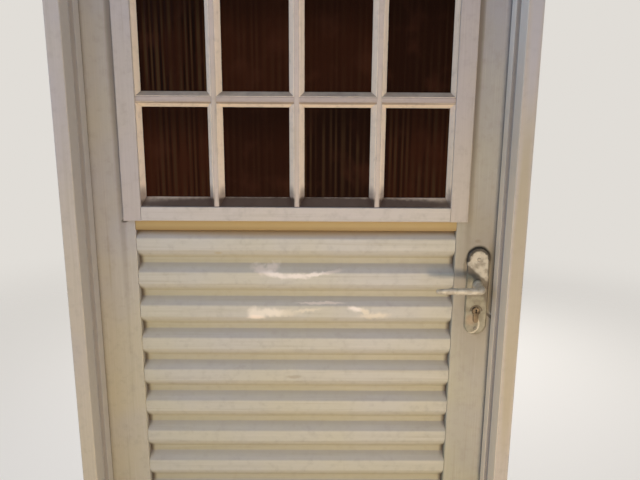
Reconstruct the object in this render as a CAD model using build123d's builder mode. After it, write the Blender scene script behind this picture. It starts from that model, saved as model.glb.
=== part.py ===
"""Glazed steel door with a top-hung sash and a ribbed lower panel, in its folded steel frame.

Millimetres. X runs across the door with the lock at +X, Y runs into the house, Z is up.
The origin is at floor level, at the middle of the frame's width and of the whole depth.
"""
import os
from build123d import *

os.makedirs("parts", exist_ok=True)

# Frame of folded sheet, measured over its outer face
frame_width = 870.0
frame_height = 2170.0
frame_sheet = 1.5
frame_bend = 2.0
face_width = 28.5
reveal_depth = 39.0
stop_width = 9.0
stop_depth = 27.0
rebate_lap = 15.5
rebate_depth = 39.0
flange_return = 14.0

# Door leaf of folded box members
leaf_thickness = 35.0
leaf_sheet = 1.5
leaf_bend = 2.0
leaf_side_gap = 4.0
leaf_top_gap = 4.0
leaf_floor_gap = 8.0
leaf_stop_gap = 2.0
stile_width = 91.0
mid_rail_height = 40.0
top_rail_height = 94.0
bottom_rail_least = 100.0

# Ribbed sheet of the lower half
rib_pitch = 70.0
rib_depth = 14.5
rib_crest = 23.5
rib_crest_fall = 1.4
rib_rise = 17.5
rib_fall = 17.0
rib_bend = 3.0
rib_sheet = 1.0
crest_setback = 0.8
weld_gap = 0.2

# Glazed sash, a strip folded round four sides that laps the leaf from outside
sash_bottom = 1205.0
sash_lap = 19.5
sash_proud = 12.0
sash_side_face = 35.5
sash_rail_face = 28.0
sash_sheet = 1.5
sash_bend = 1.8
sash_flange = 14.0
sash_seat_gap = 0.3
sash_clearance = 3.0

# Glazing: folded bars closed towards the outside, glass on their flanges, putty in front
glass_columns = 4
glass_rows = 4
glass_thickness = 4.0
glass_depth = 23.0
glass_gap = 2.0
bar_box = 9.5
bar_flange = 24.0
bar_sheet = 1.2
bar_bend = 1.5
bar_nose = 3.0
upright_creep = 1.6
bar_halving = 12.0
bar_fit = 0.1
putty_bar = 14.6
putty_side = 7.4
putty_top = 13.0
putty_bottom = 17.5
putty_edge = 1.0

# Door hinges, lift-off knuckles on pins
hinge_from_foot = 242.0
hinge_from_top = 244.0
knuckle_radius = 8.0
knuckle_length = 44.0
hinge_pin_radius = 5.0
pin_press = 0.02
pin_running = 0.05
hinge_washer = 1.2
hinge_washer_play = 0.2
knuckle_cap = 3.0
knuckle_standoff = 0.3
hinge_tab_thickness = 4.0
frame_tab_width = 22.0
leaf_tab_width = 36.0

# Sash hinges at its top edge
sash_hinge_inset = 122.5
sash_knuckle_radius = 6.0
sash_knuckle_length = 20.0
sash_pin_radius = 2.5
sash_hinge_gap = 0.3
sash_hinge_plate = 2.0
sash_hinge_plate_height = 30.0
sash_hinge_relief = 1.0

# Sash catch on the inside
catch_height_in_flange = 7.0
catch_post_width = 30.0
catch_pin_radius = 2.5
catch_tongue = 34.0
catch_thumb = 24.0
catch_width = 12.0
catch_thickness = 5.0
catch_edge = 1.2
catch_gap = 0.8

# Lock
backset = 43.0
spindle_height = 1075.0
cylinder_drop = 55.0
case_thickness = 16.0
case_wall = 1.5
case_depth_behind = 24.0
case_above_spindle = 45.0
case_below_cylinder = 40.0
faceplate_thickness = 2.0
faceplate_width = 22.0
faceplate_height = 200.0
faceplate_recess_gap = 0.1
faceplate_screw_inset = 11.0
face_tab = 20.0
slide_gap = 0.3
spindle_size = 8.0
spindle_fit = 0.05
spindle_insert = 22.0
follower_radius = 10.0
trunnion_radius = 8.0
follower_arm_top = 17.0
follower_arm_width = 7.0
return_arm = 17.0
return_arm_thickness = 6.0
latch_height = 18.0
latch_thickness = 11.0
latch_throw = 11.0
latch_above_spindle = 22.0
latch_tail_thickness = 5.0
latch_hook_width = 5.0
latch_hook_gap = 1.5
latch_head_length = 24.0
bolt_height = 22.0
bolt_thickness = 12.0
bolt_length = 25.0
bolt_throw = 18.0
bolt_tail_height = 6.0
cylinder_radius = 8.5
cylinder_leg = 10.0
cylinder_height = 33.0
cylinder_proud = 3.0
plug_radius = 6.5
cam_thickness = 10.0
cam_reach = 15.0
cam_gap = 0.4
keyway_width = 2.5
keyway_height = 8.0
keyway_depth = 12.0
spring_wire = 1.2
spring_radius = 3.0
spring_turns = 5
strike_thickness = 1.5
strike_width = 26.0
strike_height = 180.0
strike_screw_inset = 8.0
strike_window_gap = 1.0

# Lever handles and their long plates
plate_width = 45.0
plate_above_spindle = 77.0
plate_below_spindle = 106.0
plate_thickness = 4.0
plate_edge = 1.8
plate_top_screw_inset = 24.0
plate_foot_screw_inset = 14.0
lever_neck_radius = 8.0
lever_collar_radius = 10.5
lever_collar_height = 9.0
lever_standoff = 46.0
lever_length = 92.0
lever_width = 14.0
lever_height = 10.0
lever_tip_width = 11.0
lever_tip_height = 8.0
lever_bend = 14.0
lever_elbow_land = 2.0
lever_flat = 0.5
lever_tip_round = 1.5
lever_gap = 0.3

# Countersunk screws
screw_radius = 2.0
screw_head_radius = 4.0
screw_length = 12.0
cylinder_screw_radius = 2.5

# Wall fixings through both jambs, hidden in the rebate
fixing_hole_radius = 4.5
fixing_count = 4
fixing_from_foot = 250.0
fixing_from_top = 270.0

# Places in the frame
leaf_setback = reveal_depth + stop_depth + leaf_stop_gap
total_depth = leaf_setback + leaf_thickness + lever_standoff + plate_thickness + lever_width / 2
frame_front = -total_depth / 2
frame_depth = reveal_depth + stop_depth + rebate_depth
frame_back = frame_front + frame_depth
stop_half = frame_width / 2 - face_width - stop_width
rebate_half = stop_half + rebate_lap
rebate_top = frame_height - frame_width / 2 + rebate_half

# Places in the leaf
leaf_half = rebate_half - leaf_side_gap
leaf_top = rebate_top - leaf_top_gap
leaf_bottom = leaf_floor_gap
leaf_front = frame_front + leaf_setback
leaf_back = leaf_front + leaf_thickness
leaf_middle = (leaf_front + leaf_back) / 2
opening_half = leaf_half - stile_width
opening_bottom = sash_bottom + sash_lap
opening_top = leaf_top - top_rail_height
panel_top = opening_bottom - mid_rail_height
rib_count = int((panel_top - leaf_bottom - bottom_rail_least) // rib_pitch)
panel_bottom = panel_top - rib_count * rib_pitch

# Heights of the door hinges
hinge_bottom = leaf_bottom + hinge_from_foot
hinge_top = leaf_top - hinge_from_top
hinge_heights = {"bottom": hinge_bottom, "middle": (hinge_bottom + hinge_top) / 2, "top": hinge_top}

# Places in the sash
sash_front = leaf_front - sash_proud
sash_half = opening_half + sash_lap
sash_top = opening_top + sash_lap
sash_height = sash_top - sash_bottom
glazing_half = sash_half - sash_side_face
glazing_bottom = sash_bottom + sash_rail_face
glazing_top = sash_top - sash_rail_face
bar_width = 2 * putty_bar
pane_view_width = (2 * glazing_half - 2 * putty_side - (glass_columns - 1) * bar_width) / glass_columns
pane_view_height = (
    glazing_top - glazing_bottom - putty_top - putty_bottom - (glass_rows - 1) * bar_width
) / glass_rows
upright_places = [
    -glazing_half + putty_side + (i + 1) * pane_view_width + (i + 0.5) * bar_width + i * upright_creep
    for i in range(glass_columns - 1)
]
cross_places = [
    glazing_bottom + putty_bottom + (i + 1) * pane_view_height + (i + 0.5) * bar_width
    for i in range(glass_rows - 1)
]

# Places in the lock
lock_x = leaf_half - backset
cylinder_z = spindle_height - cylinder_drop
case_front = leaf_half - faceplate_thickness
case_back = lock_x - case_depth_behind
case_top = spindle_height + case_above_spindle
case_bottom = cylinder_z - case_below_cylinder
faceplate_z = (case_top + case_bottom) / 2
face_screw_heights = [
    faceplate_z + end * (faceplate_height / 2 - faceplate_screw_inset / 2) for end in (-1, 1)
]
strike_screw_heights = [
    faceplate_z + end * (strike_height / 2 - strike_screw_inset) for end in (-1, 1)
]
cylinder_screw_z = cylinder_z - cylinder_height + cylinder_radius + cylinder_leg / 2
cavity = case_thickness - 2 * case_wall
latch_z = spindle_height + latch_above_spindle
plate_top = spindle_height + plate_above_spindle
plate_bottom = spindle_height - plate_below_spindle
outer_face = leaf_front - plate_thickness
inner_face = leaf_back + plate_thickness


def write(builder, name):
    """Labels a finished piece and writes it to its own file."""
    builder.part.label = name
    export_step(builder.part, f"parts/{name}.step")


def folded_section(plane, points, sheet, bend):
    """Section of a bent strip, its metal on the right of the path."""
    with BuildSketch(plane) as section:
        with BuildLine():
            FilletPolyline(*points, radius=bend)
            offset(amount=sheet, side=Side.RIGHT)
        make_face()
    return section.sketch


# Frame members, mitred at the top corners
frame_corner = (0, frame_front, frame_height - frame_width / 2)
left_mitre = Plane(origin=frame_corner, z_dir=(1, 0, 1))
right_mitre = Plane(origin=frame_corner, z_dir=(-1, 0, 1))


def frame_section(plane):
    """Face, reveal, stop and rebate, folded from one strip; local X runs out of the opening."""
    outer = frame_width / 2
    reveal = stop_half + stop_width
    stop_back = reveal_depth + stop_depth
    points = [
        (outer, flange_return),
        (outer, 0),
        (reveal, 0),
        (reveal, reveal_depth),
        (stop_half, reveal_depth),
        (stop_half, stop_back),
        (rebate_half, stop_back),
        (rebate_half, frame_depth),
        (outer, frame_depth),
        (outer, frame_depth - flange_return),
    ]
    return folded_section(plane, points, frame_sheet, frame_bend)


fixing_spacing = (frame_height - fixing_from_foot - fixing_from_top) / (fixing_count - 1)
fixing_heights = [fixing_from_foot + i * fixing_spacing for i in range(fixing_count)]

with BuildPart() as jamb_left:
    left_plane = Plane(origin=(0, frame_front, 0), x_dir=(-1, 0, 0), z_dir=(0, 0, -1))
    extrude(frame_section(left_plane), amount=-frame_height)
    split(bisect_by=left_mitre, keep=Keep.BOTTOM)
    with BuildSketch(Plane.YZ.offset(-rebate_half)):
        with Locations(*[(leaf_middle, height) for height in fixing_heights]):
            Circle(fixing_hole_radius)
    extrude(amount=-2 * frame_sheet, both=True, mode=Mode.SUBTRACT)
write(jamb_left, "jamb_left")

with BuildPart() as jamb_right:
    right_plane = Plane(origin=(0, frame_front, 0), x_dir=(1, 0, 0), z_dir=(0, 0, 1))
    extrude(frame_section(right_plane), amount=frame_height)
    split(bisect_by=right_mitre, keep=Keep.BOTTOM)
    with BuildSketch(Plane.YZ.offset(rebate_half)):
        with Locations(*[(leaf_middle, height) for height in fixing_heights]):
            Circle(fixing_hole_radius)
        with Locations((leaf_middle, latch_z)):
            Rectangle(latch_thickness + 4 * strike_window_gap, latch_height + 4 * strike_window_gap)
        with Locations((leaf_middle, cylinder_z)):
            Rectangle(bolt_thickness + 4 * strike_window_gap, bolt_height + 4 * strike_window_gap)
        with Locations(*[(leaf_middle, height) for height in strike_screw_heights]):
            Circle(screw_head_radius - strike_thickness + pin_running)
    extrude(amount=frame_bend, both=True, mode=Mode.SUBTRACT)
write(jamb_right, "jamb_right")

with BuildPart() as head:
    head_plane = Plane(origin=frame_corner, x_dir=(0, 0, 1), z_dir=(-1, 0, 0))
    extrude(frame_section(head_plane), amount=frame_width / 2, both=True)
    split(bisect_by=left_mitre, keep=Keep.TOP)
    split(bisect_by=right_mitre, keep=Keep.TOP)
write(head, "head")


# Leaf members, closed box sections
def box_section(plane, width):
    """Hollow section of a leaf member, rounded at its folds."""
    with BuildSketch(plane) as section:
        RectangleRounded(width, leaf_thickness, leaf_bend)
        RectangleRounded(
            width - 2 * leaf_sheet,
            leaf_thickness - 2 * leaf_sheet,
            leaf_bend - leaf_sheet,
            mode=Mode.SUBTRACT,
        )
    return section.sketch


def leaf_rail(name, bottom, top):
    """A box rail between the two stiles."""
    plane = Plane(
        origin=(-opening_half, leaf_middle, (bottom + top) / 2), x_dir=(0, 0, 1), z_dir=(1, 0, 0)
    )
    with BuildPart() as rail:
        extrude(box_section(plane, top - bottom), amount=2 * opening_half)
    write(rail, name)


stile_centre = leaf_half - stile_width / 2
with BuildPart() as hinge_stile:
    extrude(
        box_section(Plane(origin=(-stile_centre, leaf_middle, leaf_bottom)), stile_width),
        amount=leaf_top - leaf_bottom,
    )
write(hinge_stile, "hinge_stile")

leaf_rail("top_rail", opening_top, leaf_top)
leaf_rail("mid_rail", panel_top, opening_bottom)
leaf_rail("bottom_rail", leaf_bottom, panel_bottom)


def cylinder_outline(plane, clearance):
    """Round head with a round-ended leg below it, grown by a clearance."""
    leg_centre = cylinder_height - cylinder_radius - cylinder_leg / 2
    with BuildSketch(plane) as outline:
        Circle(cylinder_radius + clearance)
        with Locations((0, -leg_centre / 2)):
            Rectangle(cylinder_leg + 2 * clearance, leg_centre)
        with Locations((0, -leg_centre)):
            Circle(cylinder_leg / 2 + clearance)
    return outline.sketch


# Planes square to Y whose local X is +X and whose normal points out of the house
def facing_plane(y, x=lock_x, z=spindle_height):
    """Plane at a depth, seen from outside, with its origin at a point of the lock."""
    return Plane(origin=(x, y, z), x_dir=(1, 0, 0), z_dir=(0, -1, 0))


plate_screw_heights = (plate_top - plate_top_screw_inset, plate_bottom + plate_foot_screw_inset)

with BuildPart() as lock_stile:
    extrude(
        box_section(Plane(origin=(stile_centre, leaf_middle, leaf_bottom)), stile_width),
        amount=leaf_top - leaf_bottom,
    )
    tab_x = leaf_half - leaf_sheet
    for end in (-1, 1):
        with Locations((tab_x, leaf_middle, faceplate_z + end * faceplate_height / 2)):
            Box(2, faceplate_width + 8, face_tab, align=(Align.MAX, Align.CENTER, Align.CENTER))
    with Locations((leaf_half, leaf_middle, faceplate_z)):
        Box(
            2 * faceplate_thickness,
            faceplate_width + 2 * faceplate_recess_gap,
            faceplate_height + 2 * faceplate_recess_gap,
            mode=Mode.SUBTRACT,
        )
    extrude(
        cylinder_outline(facing_plane(leaf_middle, z=cylinder_z), 1.0),
        amount=leaf_thickness,
        both=True,
        mode=Mode.SUBTRACT,
    )
    with BuildSketch(facing_plane(leaf_middle)):
        Circle(follower_radius)
        with Locations(*[(0, height - spindle_height) for height in plate_screw_heights]):
            Circle(screw_radius + pin_running)
    extrude(amount=leaf_thickness, both=True, mode=Mode.SUBTRACT)
    with BuildSketch(Plane.YZ.offset(tab_x)):
        with Locations(*[(leaf_middle, height) for height in face_screw_heights]):
            Circle(screw_radius + pin_running)
    extrude(amount=faceplate_thickness * 3, both=True, mode=Mode.SUBTRACT)
write(lock_stile, "lock_stile")


# Ribbed sheet: from the top of each rib, a rise to the crest, the crest, a fall and the valley
def rib_path():
    """Outline points of the outer surface as (depth, height), from the top down."""
    crest_y = leaf_front + crest_setback
    valley_y = crest_y + rib_depth
    points = []
    for rib in range(rib_count):
        top = panel_top - rib * rib_pitch
        points.append((valley_y, top))
        points.append((crest_y, top - rib_rise))
        points.append((crest_y + rib_crest_fall, top - rib_rise - rib_crest))
        points.append((valley_y, top - rib_rise - rib_crest - rib_fall))
    points.append((valley_y, panel_bottom))
    return points


with BuildPart() as ribbed_panel:
    panel_plane = Plane.YZ.offset(-opening_half + weld_gap)
    with BuildSketch(panel_plane):
        with BuildLine():
            FilletPolyline(*rib_path(), radius=rib_bend)
            offset(amount=rib_sheet, side=Side.LEFT)
        make_face()
    extrude(amount=2 * (opening_half - weld_gap))
write(ribbed_panel, "ribbed_panel")


# Sash members: lip, face, glazing reveal and glazing flange, folded from one strip
def sash_section(plane, face):
    """Local X runs out of the glazing; its origin is the inner edge of the face."""
    points = [
        (face, sash_proud - sash_seat_gap),
        (face, 0),
        (0, 0),
        (0, glass_depth),
        (-sash_flange, glass_depth),
    ]
    return folded_section(plane, points, sash_sheet, sash_bend)


def sash_side(name, side):
    """A full-height side member, coped behind its face where the rails pass."""
    plane = Plane(
        origin=(side * glazing_half, sash_front, sash_bottom), x_dir=(side, 0, 0), z_dir=(0, 0, side)
    )
    web_x = side * (glazing_half + sash_sheet / 2)
    flange_x = side * (glazing_half - sash_flange / 2)
    behind_face = (Align.CENTER, Align.MIN, Align.CENTER)
    with BuildPart() as member:
        extrude(sash_section(plane, sash_side_face), amount=side * sash_height)
        for end in (sash_bottom, sash_top):
            with Locations((web_x, sash_front + sash_proud, end)):
                Box(
                    2 * sash_side_face,
                    glass_depth,
                    2 * (sash_lap + sash_clearance),
                    align=behind_face,
                    mode=Mode.SUBTRACT,
                )
            with Locations((flange_x, sash_front + sash_proud, end)):
                Box(
                    sash_flange,
                    glass_depth,
                    2 * (sash_rail_face + sash_flange),
                    align=behind_face,
                    mode=Mode.SUBTRACT,
                )
    write(member, name)


def sash_rail(name, edge, up):
    """A rail between the side members; up is the way from the glazing to its outer edge."""
    plane = Plane(origin=(0, sash_front, edge), x_dir=(0, 0, up), z_dir=(-up, 0, 0))
    with BuildPart() as member:
        extrude(sash_section(plane, sash_rail_face), amount=glazing_half, both=True)
    write(member, name)


sash_side("sash_stile_left", -1)
sash_side("sash_stile_right", 1)
sash_rail("sash_bottom_rail", glazing_bottom, -1)
sash_rail("sash_top_rail", glazing_top, 1)


# Glazing bars, halved into each other where they cross
def bar_section(plane):
    """Hat section: closed towards the outside, open to the room, its two flanges behind the glass."""
    points = [
        (bar_flange / 2, glass_depth),
        (bar_box / 2, glass_depth),
        (bar_box / 2, bar_nose),
        (-bar_box / 2, bar_nose),
        (-bar_box / 2, glass_depth),
        (-bar_flange / 2, glass_depth),
    ]
    return folded_section(plane, points, bar_sheet, bar_bend)


flange_y = sash_front + glass_depth
slot = bar_box + 2 * bar_fit
behind = (Align.CENTER, Align.MIN, Align.CENTER)

for index, x in enumerate(upright_places):
    with BuildPart() as upright:
        base = Plane(origin=(x, sash_front, glazing_bottom), x_dir=(1, 0, 0), z_dir=(0, 0, 1))
        extrude(bar_section(base), amount=glazing_top - glazing_bottom)
        for z in (glazing_bottom, glazing_top):
            with Locations((x, flange_y, z)):
                Box(bar_flange, 2 * bar_flange, 2 * sash_flange, align=behind, mode=Mode.SUBTRACT)
            with Locations((x, flange_y - sash_bend, z)):
                Box(bar_flange, 2 * bar_flange, 2 * sash_bend, align=behind, mode=Mode.SUBTRACT)
        for z in cross_places:
            with Locations((x, flange_y - bar_bend, z)):
                Box(bar_flange, 2 * bar_flange, bar_flange + 2 * bar_fit, align=behind, mode=Mode.SUBTRACT)
            with Locations((x, sash_front + bar_halving, z)):
                Box(bar_flange, 2 * bar_flange, slot, align=behind, mode=Mode.SUBTRACT)
    write(upright, f"upright_bar_{index + 1}")

for index, z in enumerate(cross_places):
    with BuildPart() as cross:
        base = Plane(origin=(-glazing_half, sash_front, z), x_dir=(0, 0, -1), z_dir=(1, 0, 0))
        extrude(bar_section(base), amount=2 * glazing_half)
        for x in (-glazing_half, glazing_half):
            with Locations((x, flange_y, z)):
                Box(2 * sash_flange, 2 * bar_flange, bar_flange, align=behind, mode=Mode.SUBTRACT)
            with Locations((x, flange_y - sash_bend, z)):
                Box(2 * sash_bend, 2 * bar_flange, bar_flange, align=behind, mode=Mode.SUBTRACT)
        for x in upright_places:
            with Locations((x, sash_front, z)):
                Box(slot, bar_halving, bar_flange, align=behind, mode=Mode.SUBTRACT)
    write(cross, f"cross_bar_{index + 1}")


# Panes and the putty round each of them
def cell_edges(places, low, high):
    """Clear spans between the bars, from one side of the glazing to the other."""
    edges = [low]
    for place in places:
        edges += [place - bar_box / 2, place + bar_box / 2]
    edges.append(high)
    return list(zip(edges[0::2], edges[1::2]))


columns = cell_edges(upright_places, -glazing_half, glazing_half)
rows = cell_edges(cross_places, glazing_bottom, glazing_top)
putty_lap = putty_bar - bar_box / 2

for index, (low_z, high_z) in enumerate(rows):
    with BuildPart() as panes:
        with BuildSketch(Plane(origin=(0, flange_y, 0), x_dir=(1, 0, 0), z_dir=(0, -1, 0))):
            for low_x, high_x in columns:
                with Locations(((low_x + high_x) / 2, (low_z + high_z) / 2)):
                    Rectangle(high_x - low_x - 2 * glass_gap, high_z - low_z - 2 * glass_gap)
        extrude(amount=glass_thickness)
    write(panes, f"panes_row_{index + 1}")

with BuildPart() as putty:
    putty_depth = glass_depth - glass_thickness - bar_nose - putty_edge
    glass_front = flange_y - glass_thickness
    for low_x, high_x in columns:
        left = putty_side if low_x == columns[0][0] else putty_lap
        right = putty_side if high_x == columns[-1][1] else putty_lap
        for low_z, high_z in rows:
            below = putty_bottom if low_z == rows[0][0] else putty_lap
            above = putty_top if high_z == rows[-1][1] else putty_lap
            seat = Plane(
                origin=((low_x + high_x) / 2, glass_front, (low_z + high_z) / 2),
                x_dir=(1, 0, 0),
                z_dir=(0, -1, 0),
            )
            width = high_x - low_x
            height = high_z - low_z
            with BuildSketch(seat):
                Rectangle(width, height)
            extrude(amount=putty_depth)
            with BuildSketch(seat):
                with Locations(((left - right) / 2, (below - above) / 2)):
                    Rectangle(width - left - right, height - below - above)
            with BuildSketch(seat.offset(putty_depth)):
                Rectangle(width - 2 * putty_edge, height - 2 * putty_edge)
            loft(mode=Mode.SUBTRACT)
write(putty, "glazing_putty")


# Door hinges: the frame's knuckle below, the leaf's above, on one pin
hinge_x = -(rebate_half + leaf_half) / 2
hinge_y = frame_back + knuckle_standoff + knuckle_radius
knuckle_split = hinge_washer / 2 + hinge_washer_play
up = (Align.CENTER, Align.CENTER, Align.MIN)

for place, height in hinge_heights.items():
    with BuildPart() as frame_knuckle:
        bottom = height - knuckle_split - knuckle_length
        with Locations((hinge_x, hinge_y, bottom)):
            Cylinder(knuckle_radius, knuckle_length, align=up)
        with Locations((hinge_x - frame_tab_width, frame_back, bottom)):
            Box(frame_tab_width, hinge_tab_thickness, knuckle_length, align=(Align.MIN,) * 3)
        with Locations((hinge_x, hinge_y, bottom + knuckle_cap)):
            Cylinder(hinge_pin_radius + pin_press, knuckle_length, align=up, mode=Mode.SUBTRACT)
    write(frame_knuckle, f"frame_knuckle_{place}")

    with BuildPart() as leaf_knuckle:
        bottom = height + knuckle_split
        with Locations((hinge_x, hinge_y, bottom)):
            Cylinder(knuckle_radius, knuckle_length, align=up)
        with Locations((hinge_x, leaf_back, bottom)):
            Box(leaf_tab_width, hinge_tab_thickness, knuckle_length, align=(Align.MIN,) * 3)
        with Locations((hinge_x, hinge_y, bottom)):
            Cylinder(
                hinge_pin_radius + pin_running, knuckle_length - knuckle_cap, align=up, mode=Mode.SUBTRACT
            )
    write(leaf_knuckle, f"leaf_knuckle_{place}")

    with BuildPart() as hinge_pin:
        reach = knuckle_length - knuckle_cap - pin_running
        with Locations((hinge_x, hinge_y, height)):
            Cylinder(hinge_pin_radius, 2 * (knuckle_split + reach))
    write(hinge_pin, f"hinge_pin_{place}")

with BuildPart() as washers:
    for height in hinge_heights.values():
        with Locations((hinge_x, hinge_y, height)):
            Cylinder(knuckle_radius, hinge_washer)
            Cylinder(hinge_pin_radius + 4 * pin_running, hinge_washer, mode=Mode.SUBTRACT)
write(washers, "hinge_washers")


# Sash hinges: one knuckle on the leaf between two on the sash
sash_axis_y = leaf_front - sash_hinge_gap - sash_knuckle_radius
sash_axis_z = sash_top + sash_hinge_gap + sash_knuckle_radius
along_x = (0, 90, 0)
sash_hinge_places = (sash_hinge_inset - sash_half, sash_half - sash_hinge_inset)
hinge_relief = sash_knuckle_radius + sash_hinge_relief
hinge_plate_width = 3 * sash_knuckle_length + 2 * sash_hinge_gap

with BuildPart() as sash_hinge_leaf:
    for x in sash_hinge_places:
        with Locations((x, sash_axis_y, sash_axis_z)):
            Cylinder(sash_knuckle_radius, sash_knuckle_length, rotation=along_x)
        with Locations((x, leaf_front, sash_axis_z)):
            Box(
                sash_knuckle_length,
                sash_hinge_plate,
                sash_hinge_plate_height,
                align=(Align.CENTER, Align.MAX, Align.MIN),
            )
        with Locations((x, leaf_front, sash_axis_z + hinge_relief)):
            Box(
                hinge_plate_width,
                sash_hinge_plate,
                sash_hinge_plate_height - hinge_relief,
                align=(Align.CENTER, Align.MAX, Align.MIN),
            )
        with Locations((x, sash_axis_y, sash_axis_z)):
            Cylinder(
                sash_pin_radius + pin_running, sash_knuckle_length, rotation=along_x, mode=Mode.SUBTRACT
            )
write(sash_hinge_leaf, "sash_hinge_leaf_halves")

with BuildPart() as sash_hinge_sash:
    for x in sash_hinge_places:
        for offset_x in (-sash_knuckle_length - sash_hinge_gap, sash_knuckle_length + sash_hinge_gap):
            with Locations((x + offset_x, sash_axis_y, sash_axis_z)):
                Cylinder(sash_knuckle_radius, sash_knuckle_length, rotation=along_x)
            with Locations((x + offset_x, sash_front, sash_axis_z)):
                Box(
                    sash_knuckle_length,
                    sash_hinge_plate,
                    sash_hinge_plate_height,
                    align=(Align.CENTER, Align.MAX, Align.MAX),
                )
        with Locations((x, sash_front, sash_axis_z - hinge_relief)):
            Box(
                hinge_plate_width,
                sash_hinge_plate,
                sash_hinge_plate_height - hinge_relief,
                align=(Align.CENTER, Align.MAX, Align.MAX),
            )
        with Locations((x, sash_axis_y, sash_axis_z)):
            Cylinder(
                sash_pin_radius + pin_press, 4 * sash_knuckle_length, rotation=along_x, mode=Mode.SUBTRACT
            )
write(sash_hinge_sash, "sash_hinge_sash_halves")

with BuildPart() as sash_pins:
    with Locations(*[(x, sash_axis_y, sash_axis_z) for x in sash_hinge_places]):
        Cylinder(sash_pin_radius, 3 * sash_knuckle_length, rotation=along_x)
write(sash_pins, "sash_hinge_pins")


# Sash catch: a post behind the bottom rail and a turning tongue
catch_z = glazing_bottom + catch_height_in_flange
catch_y = leaf_back + catch_gap
along_y = (90, 0, 0)

with BuildPart() as catch_post:
    post_start = flange_y + sash_sheet
    with Locations((0, post_start, catch_z)):
        Box(catch_post_width, catch_y - catch_gap / 2 - post_start, sash_flange, align=behind)
    fillet(catch_post.edges().filter_by(Axis.Y), 2)
    with Locations((0, post_start, catch_z)):
        Cylinder(catch_pin_radius + pin_running, 4 * leaf_thickness, rotation=along_y, mode=Mode.SUBTRACT)
write(catch_post, "catch_post")

with BuildPart() as catch_turn:
    with BuildSketch(facing_plane(catch_y, x=0, z=catch_z)):
        with Locations(((catch_tongue - catch_thumb) / 2, 0)):
            SlotOverall(catch_tongue + catch_thumb, catch_width)
    extrude(amount=-catch_thickness)
    chamfer(catch_turn.faces().sort_by(Axis.Y)[-1].edges(), catch_edge)
    with BuildSketch(facing_plane(catch_y, x=0, z=catch_z)):
        Circle(catch_pin_radius)
    extrude(amount=catch_y - (flange_y + sash_sheet) - 1)
write(catch_turn, "catch_turn")


# Lock case, open where the bolts, the spindle and the cylinder pass
latch_tail_y = leaf_middle - cavity / 2 + slide_gap
case_size = (case_front - case_back, case_thickness, case_top - case_bottom)
case_centre = ((case_front + case_back) / 2, leaf_middle, (case_top + case_bottom) / 2)
spring_x = lock_x - follower_radius - spring_radius - 2
spring_seat_z = cylinder_z + cam_reach + 2 * bolt_tail_height
spring_top_z = spindle_height - return_arm_thickness / 2

with BuildPart() as lock_case:
    with Locations(case_centre):
        Box(*case_size)
        Box(*[size - 2 * case_wall for size in case_size], mode=Mode.SUBTRACT)
    with Locations((case_back + case_wall, leaf_middle, spring_seat_z)):
        Box(
            spring_x + spring_radius + spring_wire - case_back,
            cavity,
            case_wall,
            align=(Align.MIN, Align.CENTER, Align.MAX),
        )
    with Locations((case_front, leaf_middle, latch_z)):
        Box(
            6 * case_wall, latch_thickness + 2 * slide_gap, latch_height + 2 * slide_gap, mode=Mode.SUBTRACT
        )
    with Locations((case_front, leaf_middle, cylinder_z)):
        Box(6 * case_wall, bolt_thickness + 2 * slide_gap, bolt_height + 2 * slide_gap, mode=Mode.SUBTRACT)
    with BuildSketch(facing_plane(leaf_middle)):
        Circle(trunnion_radius + pin_running)
    extrude(amount=case_thickness, both=True, mode=Mode.SUBTRACT)
    extrude(
        cylinder_outline(facing_plane(leaf_middle, z=cylinder_z), slide_gap),
        amount=case_thickness,
        both=True,
        mode=Mode.SUBTRACT,
    )
    with BuildSketch(Plane.YZ.offset(case_front)):
        with Locations((leaf_middle, cylinder_screw_z)):
            Circle(cylinder_screw_radius + pin_running)
    extrude(amount=-3 * case_wall, mode=Mode.SUBTRACT)
write(lock_case, "lock_case")

with BuildPart() as faceplate:
    with Locations((leaf_half, leaf_middle, faceplate_z)):
        Box(
            faceplate_thickness,
            faceplate_width,
            faceplate_height,
            align=(Align.MAX, Align.CENTER, Align.CENTER),
        )
    with Locations((leaf_half, leaf_middle, latch_z)):
        Box(9, latch_thickness + 2 * slide_gap, latch_height + 2 * slide_gap, mode=Mode.SUBTRACT)
    with Locations((leaf_half, leaf_middle, cylinder_z)):
        Box(9, bolt_thickness + 2 * slide_gap, bolt_height + 2 * slide_gap, mode=Mode.SUBTRACT)
    with Locations(*[Plane(origin=(leaf_half, leaf_middle, z), z_dir=(1, 0, 0)) for z in face_screw_heights]):
        CounterSinkHole(screw_radius + pin_running, screw_head_radius + pin_running, depth=9)
    with Locations(Plane(origin=(leaf_half, leaf_middle, cylinder_screw_z), z_dir=(1, 0, 0))):
        CounterSinkHole(cylinder_screw_radius + pin_running, screw_head_radius + pin_running, depth=9)
write(faceplate, "faceplate")


def countersunk_screws(name, planes, radius, length):
    """Slotted countersunk screws, one on each plane, head outwards."""
    down = (Align.CENTER, Align.CENTER, Align.MAX)
    with BuildPart() as screws:
        with Locations(*planes):
            Cone(radius, screw_head_radius, screw_head_radius - radius, align=down)
            Cylinder(radius, length, align=down)
            Box(2 * screw_head_radius, 0.9, 1.4, mode=Mode.SUBTRACT)
    write(screws, name)


countersunk_screws(
    "faceplate_screws",
    [Plane(origin=(leaf_half, leaf_middle, z), z_dir=(1, 0, 0)) for z in face_screw_heights],
    screw_radius,
    screw_length,
)
countersunk_screws(
    "cylinder_screw",
    [Plane(origin=(leaf_half, leaf_middle, cylinder_screw_z), z_dir=(1, 0, 0))],
    cylinder_screw_radius,
    backset + cylinder_leg / 2,
)


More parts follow.
